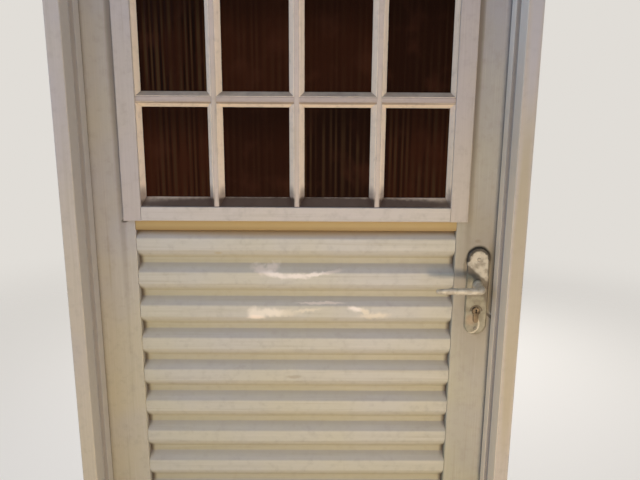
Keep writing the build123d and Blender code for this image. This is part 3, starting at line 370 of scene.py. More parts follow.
def brushed_enamel(name, cool, warm, brushed_along="Z", dust_and_shade=0.5, dust_and_shade_colour="#6a6064", corner_shade_and_grime=0.6,
                   hollow=None, painted_side_light=None, marks=()):
    """Brush-painted enamel on sheet steel. It gives the eye fine brush marks along each piece, a colour that
    turns from grey above to ochre below, partly dirt and partly painted warm light from below, a darker tint
    on what faces up that is partly dirt and partly painted shade, painted shade with dirt in the corners, and
    paler worn edges.
    For the ribbed sheet, hollow says between which Y in mm the hollows take on their colour, and how
    strongly: painted shade tinted by warm light from below, darkest at the rib ends as a painted shadow of
    the stiles' edges.
    For the frame, painted_side_light is the colour of painted light on what faces sideways."""
    material, tree, shader = new_material(name)
    coordinates = add_node(tree, "ShaderNodeTexCoord").outputs
    here = coordinates["Object"]
    normal = coordinates["Normal"]
    facing = add_node(tree, "ShaderNodeSeparateXYZ", None, [normal]).outputs
    place = add_node(tree, "ShaderNodeSeparateXYZ", None, [here]).outputs
    coats = []

    # Partly dirt, partly painted light: the paint turns warmer towards the bottom, as the warm light from
    # below tints it
    lower = add_node(tree, "ShaderNodeMapRange", SMOOTH, [place["Z"], COOL_ABOVE, WARM_BELOW, 0.0, 0.7], 0)
    drift = add_node(tree, "ShaderNodeTexNoise", None,
                     {"Vector": here, "Scale": 1 / (DRIFT * MM), "Detail": 3}, "Fac")
    drift = add_node(tree, "ShaderNodeMapRange", SMOOTH, [drift, 0.34, 0.68, -0.12, 0.32], 0)
    warmth = add_node(tree, "ShaderNodeMath", {"operation": "ADD", "use_clamp": True}, [lower, drift], 0)

    mottling = add_node(tree, "ShaderNodeTexNoise", None,
                        {"Vector": here, "Scale": 1 / (MOTTLE * MM), "Detail": 5, "Roughness": 0.62}, "Fac")
    mottled = add_node(tree, "ShaderNodeMapRange", SMOOTH, [mottling, 0.46, 0.82, 0.0, 0.3], 0)
    coats.append((mottled, MOTTLE_SHADE))
    bristles = drawn_out(tree, here, BRISTLE_MARK[brushed_along], 3, 0.6)
    bristled = add_node(tree, "ShaderNodeMapRange", SMOOTH, [bristles, 0.5, 0.78, 0.0, 0.22], 0)
    coats.append((bristled, BRISTLE_SHADE))
    strokes = drawn_out(tree, here, BRUSH_STROKE[brushed_along], 3, 0.6)
    stroked = add_node(tree, "ShaderNodeMapRange", SMOOTH, [strokes, 0.5, 0.76, 0.0, 0.26], 0)
    coats.append((stroked, STROKE_SHADE))

    # Painted shade: the ribs' hollows take a warm ochre that stands for shade lit only by warm light from
    # below, and turn darker towards the rib ends as a painted shadow of the stiles' edges
    if hollow:
        start, end, shade, strength = hollow
        deep = add_node(tree, "ShaderNodeMapRange", SMOOTH, [place["Y"], start * MM, end * MM], 0)
        coats.append((add_node(tree, "ShaderNodeMath", TIMES, [deep, strength], 0), shade))
        aside = add_node(tree, "ShaderNodeMath", UNSIGNED, [place["X"]], 0)
        at_end = add_node(tree, "ShaderNodeMapRange", SMOOTH,
                          [aside, RIB_END_START * MM, RIB_END_FULL * MM, 0.0, 0.85], 0)
        coats.append((add_node(tree, "ShaderNodeMath", TIMES, [deep, at_end], 0), RIB_END_PAINTED_SHADOW))

    # Painted light: what faces sideways, such as the frame's reveals, is lightened as if lit from the side
    if painted_side_light:
        sideways = add_node(tree, "ShaderNodeMath", UNSIGNED, [facing["X"]], 0)
        coats.append((add_node(tree, "ShaderNodeMapRange", SMOOTH, [sideways, 0.6, 0.9, 0.0, 0.6], 0), painted_side_light))

    # Partly dirt, partly painted shade: what faces up takes a darker tint, as it gets little light from above
    upward = add_node(tree, "ShaderNodeMapRange", SMOOTH, [facing["Z"], 0.1, 0.75, 0.0, dust_and_shade], 0)
    patches = add_node(tree, "ShaderNodeTexNoise", None,
                       {"Vector": here, "Scale": 1 / (DUST_PATCH * MM), "Detail": 4}, "Fac")
    patches = add_node(tree, "ShaderNodeMapRange", SMOOTH, [patches, 0.2, 0.7, 0.72, 1.0], 0)
    dusty_and_shaded = add_node(tree, "ShaderNodeMath", TIMES, [upward, patches], 0)
    coats.append((dusty_and_shaded, dust_and_shade_colour))
    # Painted shade with dirt: darker the more closed in a place is
    coats.append((shade_and_dirt_in_corners(tree, ENAMEL_CORNER, 0.78, 0.2, corner_shade_and_grime), CORNER_SHADE_AND_GRIME))

    rounded = add_node(tree, "ShaderNodeBevel", {"samples": 4}, {"Radius": ENAMEL_EDGE * MM}, 0)
    flat = add_node(tree, "ShaderNodeNewGeometry", out="Normal")
    bend = add_node(tree, "ShaderNodeVectorMath", DOT, [rounded, flat], "Value")
    edge = add_node(tree, "ShaderNodeMapRange", SMOOTH, [bend, 0.995, 0.88, 0.0, 0.5], 0)
    rubbed = add_node(tree, "ShaderNodeTexNoise", None,
                      {"Vector": here, "Scale": 1 / (WORN_PATCH * MM), "Detail": 4}, "Fac")
    rubbed = add_node(tree, "ShaderNodeMapRange", SMOOTH, [rubbed, 0.36, 0.6, 0.15, 1.0], 0)
    coats.append((add_node(tree, "ShaderNodeMath", TIMES, [edge, rubbed], 0), WORN_EDGE_SHADE))

    colour = add_node(tree, "ShaderNodeMix", RGBA, {0: warmth, 6: linear(cool), 7: linear(warm)}, 2)
    for cover, shade in coats:
        colour = add_node(tree, "ShaderNodeMix", RGBA, {0: cover, 6: colour, 7: linear(shade)}, 2)
    colour = marked(tree, here, normal, colour, marks)

    tree.links.new(colour, shader.inputs["Base Color"])
    clean = add_node(tree, "ShaderNodeMapRange", SMOOTH, [mottling, 0.3, 0.7, 0.46, 0.6], 0)
    rough = add_node(tree, "ShaderNodeMath", TIMES_PLUS, [dusty_and_shaded, 0.35, clean], 0)
    tree.links.new(rough, shader.inputs["Roughness"])
    shader.inputs["IOR"].default_value = ENAMEL_IOR
    shader.inputs["Specular IOR Level"].default_value = 0.35
    height = add_node(tree, "ShaderNodeMath", TIMES_PLUS, [mottling, 1.4, bristles], 0)
    bump = add_node(tree, "ShaderNodeBump", None,
                    {"Strength": 0.35, "Distance": ENAMEL_RELIEF * MM, "Height": height,
                     "Normal": rounded}, 0)
    tree.links.new(bump, shader.inputs["Normal"])
    return material


def bronze_glass():
    """Bronze-tinted rolled glass with broad reeds. It gives the eye a near-black brown, with olive and
    reddish streaks down the reeds that are plain in some panes and faint in others. The streaks are painted
    light and shade of the reeds, and each pane has painted shade at its top, under the bar above."""
    material, tree, shader = new_material("rolled bronze reeded glass")
    here = add_node(tree, "ShaderNodeTexCoord", out="Object")
    place = add_node(tree, "ShaderNodeSeparateXYZ", None, [here]).outputs
    streaky = add_node(tree, "ShaderNodeAttribute", {"attribute_name": "streaks"}, out="Fac")
    reddish = add_node(tree, "ShaderNodeAttribute", {"attribute_name": "redness"}, out="Fac")

    turns = add_node(tree, "ShaderNodeMath", TIMES, [place["X"], 2 * math.pi / REED_PITCH], 0)
    sway = add_node(tree, "ShaderNodeMath", TIMES_PLUS, [drawn_out(tree, here, REED_SWAY, 3), 11.0, turns], 0)
    reed = add_node(tree, "ShaderNodeMath", {"operation": "SINE"}, [sway], 0)
    plain = drawn_out(tree, here, REED_STREAK, 2)
    plain = add_node(tree, "ShaderNodeMapRange", SMOOTH, [plain, 0.36, 0.62, 0.15, 1.0], 0)
    plain = add_node(tree, "ShaderNodeMath", TIMES, [plain, streaky], 0)
    # Painted light and shade on the reeds: each reed lighter on one side and darker on the other
    reed_painted_light = add_node(tree, "ShaderNodeMapRange", SMOOTH, [reed, -0.1, 1.0], 0)
    reed_painted_light = add_node(tree, "ShaderNodeMath", TIMES, [reed_painted_light, plain], 0)
    reed_painted_shade = add_node(tree, "ShaderNodeMapRange", SMOOTH, [reed, 0.0, -0.9], 0)
    reed_painted_shade = add_node(tree, "ShaderNodeMath", TIMES, [reed_painted_shade, plain], 0)
    cloud = drawn_out(tree, here, GLASS_CLOUD, 3)
    cloud = add_node(tree, "ShaderNodeMapRange", SMOOTH, [cloud, 0.5, 0.72, 0.0, 0.5], 0)
    # Painted shade: each pane darker towards its top, under the bar above it
    in_row = add_node(tree, "ShaderNodeMath", {"operation": "WRAP"},
                      [place["Z"], BAR_HEIGHT + PANE_ROW_PITCH, BAR_HEIGHT], 0)
    painted_shade_under_bar = add_node(tree, "ShaderNodeMapRange", SMOOTH,
                         [in_row, BAR_HEIGHT + 0.5 * PANE_ROW_PITCH, BAR_HEIGHT + 0.9 * PANE_ROW_PITCH,
                          0.0, 0.6], 0)

    colour = linear("#1a0d08")
    for cover, shade in ((reddish, "#32190e"), (reed_painted_light, "#38291a"), (reed_painted_shade, "#140a06"), (cloud, "#3a2116"),
                         (painted_shade_under_bar, "#160b07")):
        colour = add_node(tree, "ShaderNodeMix", RGBA, {0: cover, 6: colour, 7: linear(shade)}, 2)
    tree.links.new(colour, shader.inputs["Base Color"])

    haze = add_node(tree, "ShaderNodeTexNoise", None,
                    {"Vector": here, "Scale": 1 / (GLASS_HAZE * MM), "Detail": 4}, "Fac")
    rough = add_node(tree, "ShaderNodeMapRange", SMOOTH, [haze, 0.3, 0.7, 0.12, 0.3], 0)
    tree.links.new(rough, shader.inputs["Roughness"])
    shader.inputs["IOR"].default_value = GLASS_IOR
    shader.inputs["Specular IOR Level"].default_value = 0.012
    dimples = add_node(tree, "ShaderNodeTexNoise", None,
                       {"Vector": here, "Scale": 1 / (GLASS_DIMPLE * MM), "Detail": 2}, "Fac")
    bump = add_node(tree, "ShaderNodeBump", None,
                    {"Strength": 0.2, "Distance": GLASS_RELIEF * MM, "Height": dimples}, 0)
    tree.links.new(bump, shader.inputs["Normal"])
    return material


def satin_metal(name, bright, dull, roughness, metallic=1.0):
    """Plated or bare metal, handled for years. It gives the eye a satin face with fine scratches, and
    painted shade with dirt in its corners."""
    material, tree, shader = new_material(name)
    here = add_node(tree, "ShaderNodeTexCoord", out="Object")
    mottling = add_node(tree, "ShaderNodeTexNoise", None,
                        {"Vector": here, "Scale": 1 / (METAL_MOTTLE * MM), "Detail": 4,
                         "Roughness": 0.55}, "Fac")
    dulled = add_node(tree, "ShaderNodeMapRange", SMOOTH, [mottling, 0.36, 0.66], 0)
    colour = add_node(tree, "ShaderNodeMix", RGBA, {0: dulled, 6: linear(bright), 7: linear(dull)}, 2)
    # Painted shade with dirt in the corners
    shaded_and_dirty = shade_and_dirt_in_corners(tree, METAL_CORNER, 0.7, 0.25, 0.75)
    colour = add_node(tree, "ShaderNodeMix", RGBA, {0: shaded_and_dirty, 6: colour, 7: linear("#4b4036")}, 2)
    tree.links.new(colour, shader.inputs["Base Color"])
    shader.inputs["Metallic"].default_value = metallic
    rough = add_node(tree, "ShaderNodeMapRange", SMOOTH,
                     [mottling, 0.3, 0.7, roughness - 0.05, roughness + 0.12], 0)
    tree.links.new(rough, shader.inputs["Roughness"])
    scratches = drawn_out(tree, here, SCRATCH, 3, 0.6)
    rounded = add_node(tree, "ShaderNodeBevel", {"samples": 4}, {"Radius": METAL_EDGE * MM}, 0)
    bump = add_node(tree, "ShaderNodeBump", None,
                    {"Strength": 0.25, "Distance": METAL_RELIEF * MM, "Height": scratches,
                     "Normal": rounded}, 0)
    tree.links.new(bump, shader.inputs["Normal"])
    return material


def overpainted_plate():
    """Zinc alloy plate, painted over with the door. It gives the eye a dull ochre lower part that hardly
    stands out, a bare whitish dome above, and a painted shadow of the lever's neck across where the two meet."""
    material, tree, shader = new_material("cast zinc alloy, painted over")
    coordinates = add_node(tree, "ShaderNodeTexCoord").outputs
    here = coordinates["Object"]
    uneven = wavered(tree, here, NECK_SHADOW_WAVE, NECK_SHADOW_SWAY)
    across = add_node(tree, "ShaderNodeVectorMath", DOT, [uneven, NECK_SHADOW_ACROSS], "Value")
    above = add_node(tree, "ShaderNodeMath", MINUS, [across, NECK_SHADOW_PLACE], 0)
    mottling = add_node(tree, "ShaderNodeTexNoise", None,
                        {"Vector": here, "Scale": 1 / (PLATE_MOTTLE * MM), "Detail": 4,
                         "Roughness": 0.6}, "Fac")
    dulled = add_node(tree, "ShaderNodeMapRange", SMOOTH, [mottling, 0.35, 0.7], 0)
    paint = add_node(tree, "ShaderNodeMix", RGBA, {0: dulled, 6: linear("#8b8772"), 7: linear("#7a725e")}, 2)
    greyed = add_node(tree, "ShaderNodeMapRange", SMOOTH, [mottling, 0.4, 0.7], 0)
    bare = add_node(tree, "ShaderNodeMix", RGBA, {0: greyed, 6: linear("#b8b1a0"), 7: linear("#8d8576")}, 2)
    dome = add_node(tree, "ShaderNodeMapRange", SMOOTH, [above, 2 * MM, 6 * MM], 0)
    colour = add_node(tree, "ShaderNodeMix", RGBA, {0: dome, 6: paint, 7: bare}, 2)

    # Painted shadow of the lever's neck: a dark band across the plate
    neck_shadow_foot = add_node(tree, "ShaderNodeMapRange", SMOOTH, [above, -10 * MM, -4 * MM, 0.0, 0.85], 0)
    neck_shadow_top = add_node(tree, "ShaderNodeMapRange", SMOOTH, [above, 8 * MM, 3 * MM], 0)
    neck_shadow = add_node(tree, "ShaderNodeMath", TIMES, [neck_shadow_foot, neck_shadow_top], 0)
    # Painted shade with dirt in the corners
    shaded_and_dirty = shade_and_dirt_in_corners(tree, METAL_CORNER, 0.7, 0.25, 0.6)
    for cover, shade in ((neck_shadow, "#574d41"), (shaded_and_dirty, "#453b2f")):
        colour = add_node(tree, "ShaderNodeMix", RGBA, {0: cover, 6: colour, 7: linear(shade)}, 2)
    colour = marked(tree, here, coordinates["Normal"], colour, PLATE_MARKS)
    tree.links.new(colour, shader.inputs["Base Color"])
    rough = add_node(tree, "ShaderNodeMapRange", SMOOTH, [mottling, 0.3, 0.7, 0.42, 0.6], 0)
    tree.links.new(rough, shader.inputs["Roughness"])
    shader.inputs["IOR"].default_value = ENAMEL_IOR
    rounded = add_node(tree, "ShaderNodeBevel", {"samples": 4}, {"Radius": PLATE_EDGE * MM}, 0)
    bump = add_node(tree, "ShaderNodeBump", None,
                    {"Strength": 0.4, "Distance": PLATE_RELIEF * MM, "Height": mottling,
                     "Normal": rounded}, 0)
    tree.links.new(bump, shader.inputs["Normal"])
    return material


def arc(x, z, radius, first, last, step, half_length, half_width):
    """Short ovals that follow an arc."""
    return [(x + radius * math.cos(math.radians(turn)), z + radius * math.sin(math.radians(turn)),
             half_length, half_width, turn + 90) for turn in range(first, last + 1, step)]


# Marks on the door: wear and stains as they lie on the real door, and painted shadows, shade and highlights
# where a comment says so. Each has its shade, strength, softness, raggedness in mm, and ovals given by their
# centre x and z, half length, half height and lean to the right in degrees. Places and sizes are in mm
BAR_FEET = [-310.8 + i * 156.2 + side for side in (-11, 11) for i in range(5)]
BAR_LEDGES = [(BAR_HEIGHT + i * PANE_ROW_PITCH) / MM - 6.5 for i in range(3)]
STOP_X = 402
STOP_EDGES = (397.5, 406.5)
LOCK_JAMB_FACE = 422
PLATE_X = 366
PANEL_MARKS = [
    # Painted shade with some dirt: the ochre band under the sash's lower edge
    ("#a48a60", 0.7, 0.4, 0, [(0, 1186, 360, 14, 0)]),
    ("#cbc1b7", 0.8, 0.6, 6, [(-68, 1102, 20, 8, -15), (-50, 1106, 15, 8, 30)]),
    ("#cbc1b7", 0.7, 0.6, 3, [(68, 1098.5, 22, 2.8, 10)]),
    ("#e0d8d0", 0.85, 0.6, 3.5, [(-40, 1093, 26, 5.2, -12), (0, 1090.5, 27, 5, 0), (34, 1093.5, 24, 3.8, 8)]),
    ("#d3cab5", 0.65, 0.6, 4, [(-30, 1012, 32, 8, 0), (18, 1018, 26, 3, 6)]),
    ("#ddd5c6", 0.85, 0.55, 3.5, [(-87, 1012, 11, 12, 0), (-76, 1011, 16, 10, 0), (-54, 1014, 26, 8, -3)]),
    ("#ebddcc", 0.8, 0.6, 2, [(-83, 1003, 15, 4.5, 0)]),
    ("#d3c7bc", 0.75, 0.4, 2, [(50, 1033, 44, 2.4, 0)]),
    ("#d5cbb6", 0.8, 0.6, 4, [(141, 1015, 13, 5, -30), (160, 1007, 28, 6.5, 3)]),
    ("#e2dad0", 0.85, 0.6, 3, [(119, 1022, 13, 5, -8)]),
    ("#a5956f", 0.45, 0.6, 1, [(-157, 1137, 7, 3, 0)]),
    ("#8c7f6c", 0.45, 0.5, 2, [(-5.5, 872, 15, 4, 0)]),
]
STOP_MARKS = [
    # Painted shade on the stops' faces
    ("#85817f", 0.75, 0.08, 0, [(x, 1085, 4.4, 3000, 0) for x in (-STOP_X, STOP_X)]),
    # Painted highlights along the stops' edges, cool above and warm below
    ("#e6e2da", 0.75, 0.3, 0, [(x, 2050, 0.8, 620, 0) for x in STOP_EDGES]),
    ("#efddc0", 0.85, 0.3, 0, [(x, 550, 0.8, 830, 0) for x in STOP_EDGES]),
    ("#a69a7e", 0.7, 0.3, 0, [(LOCK_JAMB_FACE, 1085, 12, 330, 0)]),
    ("#aeacb3", 0.5, 0.3, 0, [(LOCK_JAMB_FACE, 1790, 12, 370, 0)]),
]
HINGE_STILE_MARKS = [
    # Painted shadow on the stile beside the sash's edge
    ("#6f6459", 0.75, 0.5, 0, [(-343, 1850, 9, 660, 0)]),
    ("#463b30", 0.8, 0.4, 1, [(-338, 1203, 7, 4, 20)]),
]
MID_RAIL_MARKS = [
    # Painted shade with some dirt under the sash: an ochre band and a darker line at its foot
    ("#a8905c", 0.9, 0.1, 2, [(0, 1196, 1000, 14, 0)]),
    ("#8a6e42", 0.6, 0.6, 0, [(0, 1184, 1000, 7, 0)]),
]
BAR_FOOT_MARKS = [
    # Painted shade at the bars' feet, near the ledge
    ("#6c5e5a", 0.7, 0.6, 2, [(x, 1249, 7, 20, 0) for x in BAR_FEET]),
]
LEDGE_MARKS = [
    # Dirt and painted shade on the ledge under the glass
    ("#3c2c24", 0.92, 0.25, 2, [(0, 1238, 350, 13, 0)]),
    ("#7c6a5c", 0.75, 0.35, 0, [(0, z, 345, 2.2, 0) for z in BAR_LEDGES]),
]
LOCK_STILE_MARKS = [
    # Painted shadow on the stile beside the sash's edge
    ("#6f6459", 0.75, 0.5, 0, [(342, 1850, 8, 660, 0)]),
    # Painted shadow to the right of the plate
    ("#6c6150", 0.8, 0.35, 2, [(392, 1085, 9, 78, 0)]),
    ("#5a4f40", 0.85, 0.3, 2, [(342, 1110, 5.5, 20, 0)]),
    # Painted shade on the stile round the plate
    ("#8b816c", 0.6, 0.6, 0, [(368, 1075, 60, 150, 0)]),
    # Partly painted shadow of the plate, cast upward by light from below, and partly dirt in the gap round it
    ("#1e1810", 0.97, 0.1, 0.9, [(PLATE_X, 1128.5, 25, 26.8, 0)]),
    ("#463b2e", 0.85, 0.25, 1, [(399, 1005, 17, 2.8, -43)]),
    ("#cfc8b7", 0.7, 0.35, 1, [(403, 1008, 12, 1.6, -43)]),
    ("#877a69", 0.6, 0.5, 1, [(362, 1165, 5, 3, 0)]),
]
PLATE_MARKS = [
    # Partly painted shadow, partly dirt, along the plate's top edge
    ("#1e1810", 0.97, 0.3, 0.8, arc(PLATE_X, 1129.5, 21.6, 5, 195, 12, 6, 4.4)
     + arc(PLATE_X, 1129.5, 20.6, 41, 149, 12, 6, 5.4)),
    # Painted shadows down the plate's right side
    ("#4a4132", 0.85, 0.4, 1, [(387, 1113, 2.6, 22, 0)]),
    ("#5b5143", 0.8, 0.4, 1, [(386, 1062, 6, 26, 0)]),
    ("#a5835f", 0.45, 0.7, 2, [(356, 1001, 9, 10, 0)]),
    ("#d4cab2", 0.65, 0.5, 0.6, arc(355, 991, 18.5, -125, 30, 15, 4, 1.8)),
    # Painted shadow above the cylinder
    ("#4d3c26", 0.85, 0.3, 0.5, arc(PLATE_X, 1019, 12, 15, 165, 15, 3.5, 1.6)),
    # Painted highlight below the cylinder
    ("#e6dcc8", 0.9, 0.35, 0.5, [(PLATE_X, 1006, 4.5, 3, 0)]),
    ("#55503f", 0.5, 0.4, 1, [(372, 1060, 16, 9, -20)]),
]


def grow(name, start, tree, values, body, stands_for):
    """Runs a Geometry Nodes tree on a starting mesh and keeps the result as a plain piece on its body."""
    made = new_object(name, start)
    modifier = made.modifiers.new("grow", "NODES")
    modifier.node_group = tree
    for item in tree.interface.items_tree:
        if item.item_type == "SOCKET" and item.in_out == "INPUT" and item.name in values:
            modifier[item.identifier] = values[item.name]
    graph = bpy.context.evaluated_depsgraph_get()
    grown = bpy.data.meshes.new_from_object(made.evaluated_get(graph), depsgraph=graph)
    grown.name = name
    made.modifiers.clear()
    made.data = grown
    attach(made, body)
    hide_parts(*stands_for)


def new_tree(name, inputs):
    """An empty Geometry Nodes tree with named number inputs."""
    tree = bpy.data.node_groups.new(name, "GeometryNodeTree")
    tree.interface.new_socket("Geometry", in_out="INPUT", socket_type="NodeSocketGeometry")
    for label, kind, value in inputs:
        made = tree.interface.new_socket(label, in_out="INPUT", socket_type=kind)
        made.default_value = value
    tree.interface.new_socket("Geometry", in_out="OUTPUT", socket_type="NodeSocketGeometry")
    return tree


def closed_sheet(tree, outside, thickness):
    """A closed sheet behind an open surface that faces outwards."""
    turned = add_node(tree, "GeometryNodeFlipFaces", None, [outside], 0)
    back = add_node(tree, "GeometryNodeExtrudeMesh", {"mode": "FACES"},
                    {"Mesh": turned, "Offset Scale": thickness, "Individual": False}, "Mesh")
    both = add_node(tree, "GeometryNodeJoinGeometry")
    tree.links.new(outside, both.inputs[0])
    tree.links.new(back, both.inputs[0])
    return add_node(tree, "GeometryNodeMergeByDistance", None,
                    {"Geometry": both.outputs[0], "Distance": MERGE_GAP}, 0)


def reeded_pane_tree(material):
    """A reeded pane on each point, as wide and high as the point says: the back of a flat sheet, closed round
    a front that is waved across its width."""
    tree = new_tree("reeded panes", [
        ("Thickness", "NodeSocketFloat", PANE_THICKNESS),
        ("Reed Pitch", "NodeSocketFloat", REED_PITCH),
        ("Reed Depth", "NodeSocketFloat", REED_DEPTH),
        ("Steps Across", "NodeSocketInt", REED_STEPS)])
    given = add_node(tree, "NodeGroupInput").outputs
    sheet = add_node(tree, "GeometryNodeMeshGrid", None,
                     {"Size X": 1.0, "Size Y": 1.0, "Vertices X": given["Steps Across"], "Vertices Y": 2}, 0)
    size = add_node(tree, "GeometryNodeInputNamedAttribute", {"data_type": "FLOAT_VECTOR"},
                    {"Name": "pane size"}, 0)
    put = add_node(tree, "GeometryNodeInstanceOnPoints", None,
                   {"Points": given["Geometry"], "Instance": sheet,
                    "Rotation": (math.pi / 2, 0.0, 0.0), "Scale": size}, 0)
    real = add_node(tree, "GeometryNodeRealizeInstances", None, [put], 0)
    front = add_node(tree, "GeometryNodeExtrudeMesh", {"mode": "FACES"},
                     {"Mesh": real, "Offset Scale": given["Thickness"], "Individual": False}).outputs

    place = add_node(tree, "GeometryNodeInputPosition", out=0)
    across = add_node(tree, "ShaderNodeSeparateXYZ", None, [place], "X")
    turns = add_node(tree, "ShaderNodeMath", {"operation": "DIVIDE"}, [across, given["Reed Pitch"]], 0)
    angle = add_node(tree, "ShaderNodeMath", TIMES, [turns, math.pi], 0)
    wave = add_node(tree, "ShaderNodeMath", {"operation": "COSINE"}, [angle], 0)
    reed = add_node(tree, "ShaderNodeMath", UNSIGNED, [wave], 0)
    dip = add_node(tree, "ShaderNodeMath", MINUS, [1.0, reed], 0)
    low = add_node(tree, "ShaderNodeMath", TIMES, [dip, given["Reed Depth"]], 0)
    offset = add_node(tree, "ShaderNodeCombineXYZ", None, {"Y": low}, 0)
    waved = add_node(tree, "GeometryNodeSetPosition", None,
                     {"Geometry": front["Mesh"], "Selection": front["Top"], "Offset": offset}, 0)
    behind = add_node(tree, "GeometryNodeFlipFaces", None, [real], 0)
    pane = add_node(tree, "GeometryNodeJoinGeometry")
    tree.links.new(waved, pane.inputs[0])
    tree.links.new(behind, pane.inputs[0])
    whole = add_node(tree, "GeometryNodeMergeByDistance", None,
                     {"Geometry": pane.outputs[0], "Distance": MERGE_GAP}, 0)
    finished = add_node(tree, "GeometryNodeSetMaterial", None, {0: whole, "Material": material}, 0)
    add_node(tree, "NodeGroupOutput", None, [finished])
    return tree


def middle(node):
    """The middle of a node's box."""
    low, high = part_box(node)
    return (low + high) / 2


def make_panes(material):
    """Sixteen reeded panes between the bars, each where the flat pane of the frame is."""
    rows = [f"panes_row_{i + 1}" for i in range(4)]
    bars = [f"upright_bar_{i + 1}" for i in range(3)]
    row_low, row_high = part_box(rows[0])
    edges = [row_low.x]
    for bar in bars:
        edges += [middle(bar).x - BAR_CLEAR_HALF, middle(bar).x + BAR_CLEAR_HALF]
    edges.append(row_high.x)
    columns = list(zip(edges[0::2], edges[1::2]))
    points = []
    sizes = []
    for row in rows:
        low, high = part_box(row)
        for left, right in columns:
            points.append(((left + right) / 2, high.y, (low.z + high.z) / 2))
            sizes += [right - left, high.z - low.z, 1.0]
    start = bpy.data.meshes.new("pane places")
    start.from_pydata(points, [], [])
    start.attributes.new("pane size", "FLOAT_VECTOR", "POINT").data.foreach_set("vector", sizes)
    for name, rows_of_values in (("streaks", PANE_STREAKS), ("redness", PANE_REDNESS)):
        shares = [share for row in rows_of_values for share in row]
        start.attributes.new(name, "FLOAT", "POINT").data.foreach_set("value", shares)
    values = {"Thickness": row_high.y - row_low.y, "Reed Pitch": REED_PITCH, "Reed Depth": REED_DEPTH}
    grow("reeded_panes", start, reeded_pane_tree(material), values, "sash", rows)


def ribbed_sheet_tree(material):
    """The ribbed sheet: the path of its ribs with every bend rounded, drawn across the panel, made a little
    wavy, dented at one place, and given its thickness."""
    tree = new_tree("ribbed sheet", [
        ("Width", "NodeSocketFloat", RIB_WIDTH),
        ("Columns", "NodeSocketInt", RIB_COLUMNS),
        ("Bend Radius", "NodeSocketFloat", RIB_SOFT_BEND),
        ("Bend Steps", "NodeSocketInt", RIB_BEND_STEPS),
        ("Sheet", "NodeSocketFloat", RIB_SHEET),
        ("Wave", "NodeSocketFloat", RIB_WAVE),
        ("Dent Depth", "NodeSocketFloat", DENT_DEPTH),
        ("Dent Reach", "NodeSocketFloat", DENT_REACH)])
    given = add_node(tree, "NodeGroupInput").outputs
    path = add_node(tree, "GeometryNodeMeshToCurve", None, [given["Geometry"]], 0)
    rounded = add_node(tree, "GeometryNodeFilletCurve", {"mode": "POLY"},
                       {"Curve": path, "Count": given["Bend Steps"], "Radius": given["Bend Radius"],
                        "Limit Radius": True}, 0)
    rows = add_node(tree, "GeometryNodeAttributeDomainSize", {"component": "CURVE"}, [rounded], "Point Count")
    sheet = add_node(tree, "GeometryNodeMeshGrid", None,
                     {"Size X": given["Width"], "Size Y": 1.0, "Vertices X": given["Columns"],
                      "Vertices Y": rows}, 0)
    place = add_node(tree, "GeometryNodeInputPosition", out=0)
    index = add_node(tree, "GeometryNodeInputIndex", out=0)
    row = add_node(tree, "ShaderNodeMath", {"operation": "FLOORED_MODULO"}, [index, rows], 0)
    there = add_node(tree, "GeometryNodeSampleIndex", {"data_type": "FLOAT_VECTOR", "domain": "POINT"},
                     {"Geometry": rounded, "Value": place, "Index": row}, 0)
    along = add_node(tree, "ShaderNodeSeparateXYZ", None, [there]).outputs
    across = add_node(tree, "ShaderNodeSeparateXYZ", None, [place], "X")
    folded = add_node(tree, "ShaderNodeCombineXYZ", None, [across, along["Y"], along["Z"]], 0)
    ribs = add_node(tree, "GeometryNodeSetPosition", None, {0: sheet, "Position": folded}, 0)

    swell = add_node(tree, "ShaderNodeTexNoise", None,
                     {"Vector": place, "Scale": RIB_WAVES_PER_METRE, "Detail": 1.0}, "Fac")
    from_dent = add_node(tree, "ShaderNodeVectorMath", MINUS, [place, DENT_PLACE], 0)
    from_dent = add_node(tree, "ShaderNodeVectorMath", TIMES, [from_dent, DENT_SHAPE], 0)
    reach = add_node(tree, "ShaderNodeVectorMath", LENGTH, [from_dent], "Value")
    dent = add_node(tree, "ShaderNodeMapRange", {"interpolation_type": "SMOOTHERSTEP"},
                    [reach, given["Dent Reach"], 0.0, 0.0, given["Dent Depth"]], 0)
    depth = add_node(tree, "ShaderNodeMath", TIMES_PLUS, [swell, given["Wave"], dent], 0)
    pushed = add_node(tree, "ShaderNodeCombineXYZ", None, {"Y": depth}, 0)
    ribs = add_node(tree, "GeometryNodeSetPosition", None, {0: ribs, "Offset": pushed}, 0)

    closed = closed_sheet(tree, ribs, given["Sheet"])
    smooth = add_node(tree, "GeometryNodeSetShadeSmooth", {"domain": "FACE"},
                      {"Geometry": closed, "Shade Smooth": True}, 0)
    angle = add_node(tree, "GeometryNodeInputMeshEdgeAngle", out="Unsigned Angle")
    soft = add_node(tree, "FunctionNodeCompare", {"data_type": "FLOAT", "operation": "LESS_THAN"},
                    [angle, math.radians(RIB_SHARP_DEGREES)], 0)
    eased = add_node(tree, "GeometryNodeSetShadeSmooth", {"domain": "EDGE"},
                     {"Geometry": smooth, "Shade Smooth": soft}, 0)
    real = add_node(tree, "GeometryNodeRealizeInstances", None, [eased], 0)
    finished = add_node(tree, "GeometryNodeSetMaterial", None, {0: real, "Material": material}, 0)
    add_node(tree, "NodeGroupOutput", None, [finished])
    return tree


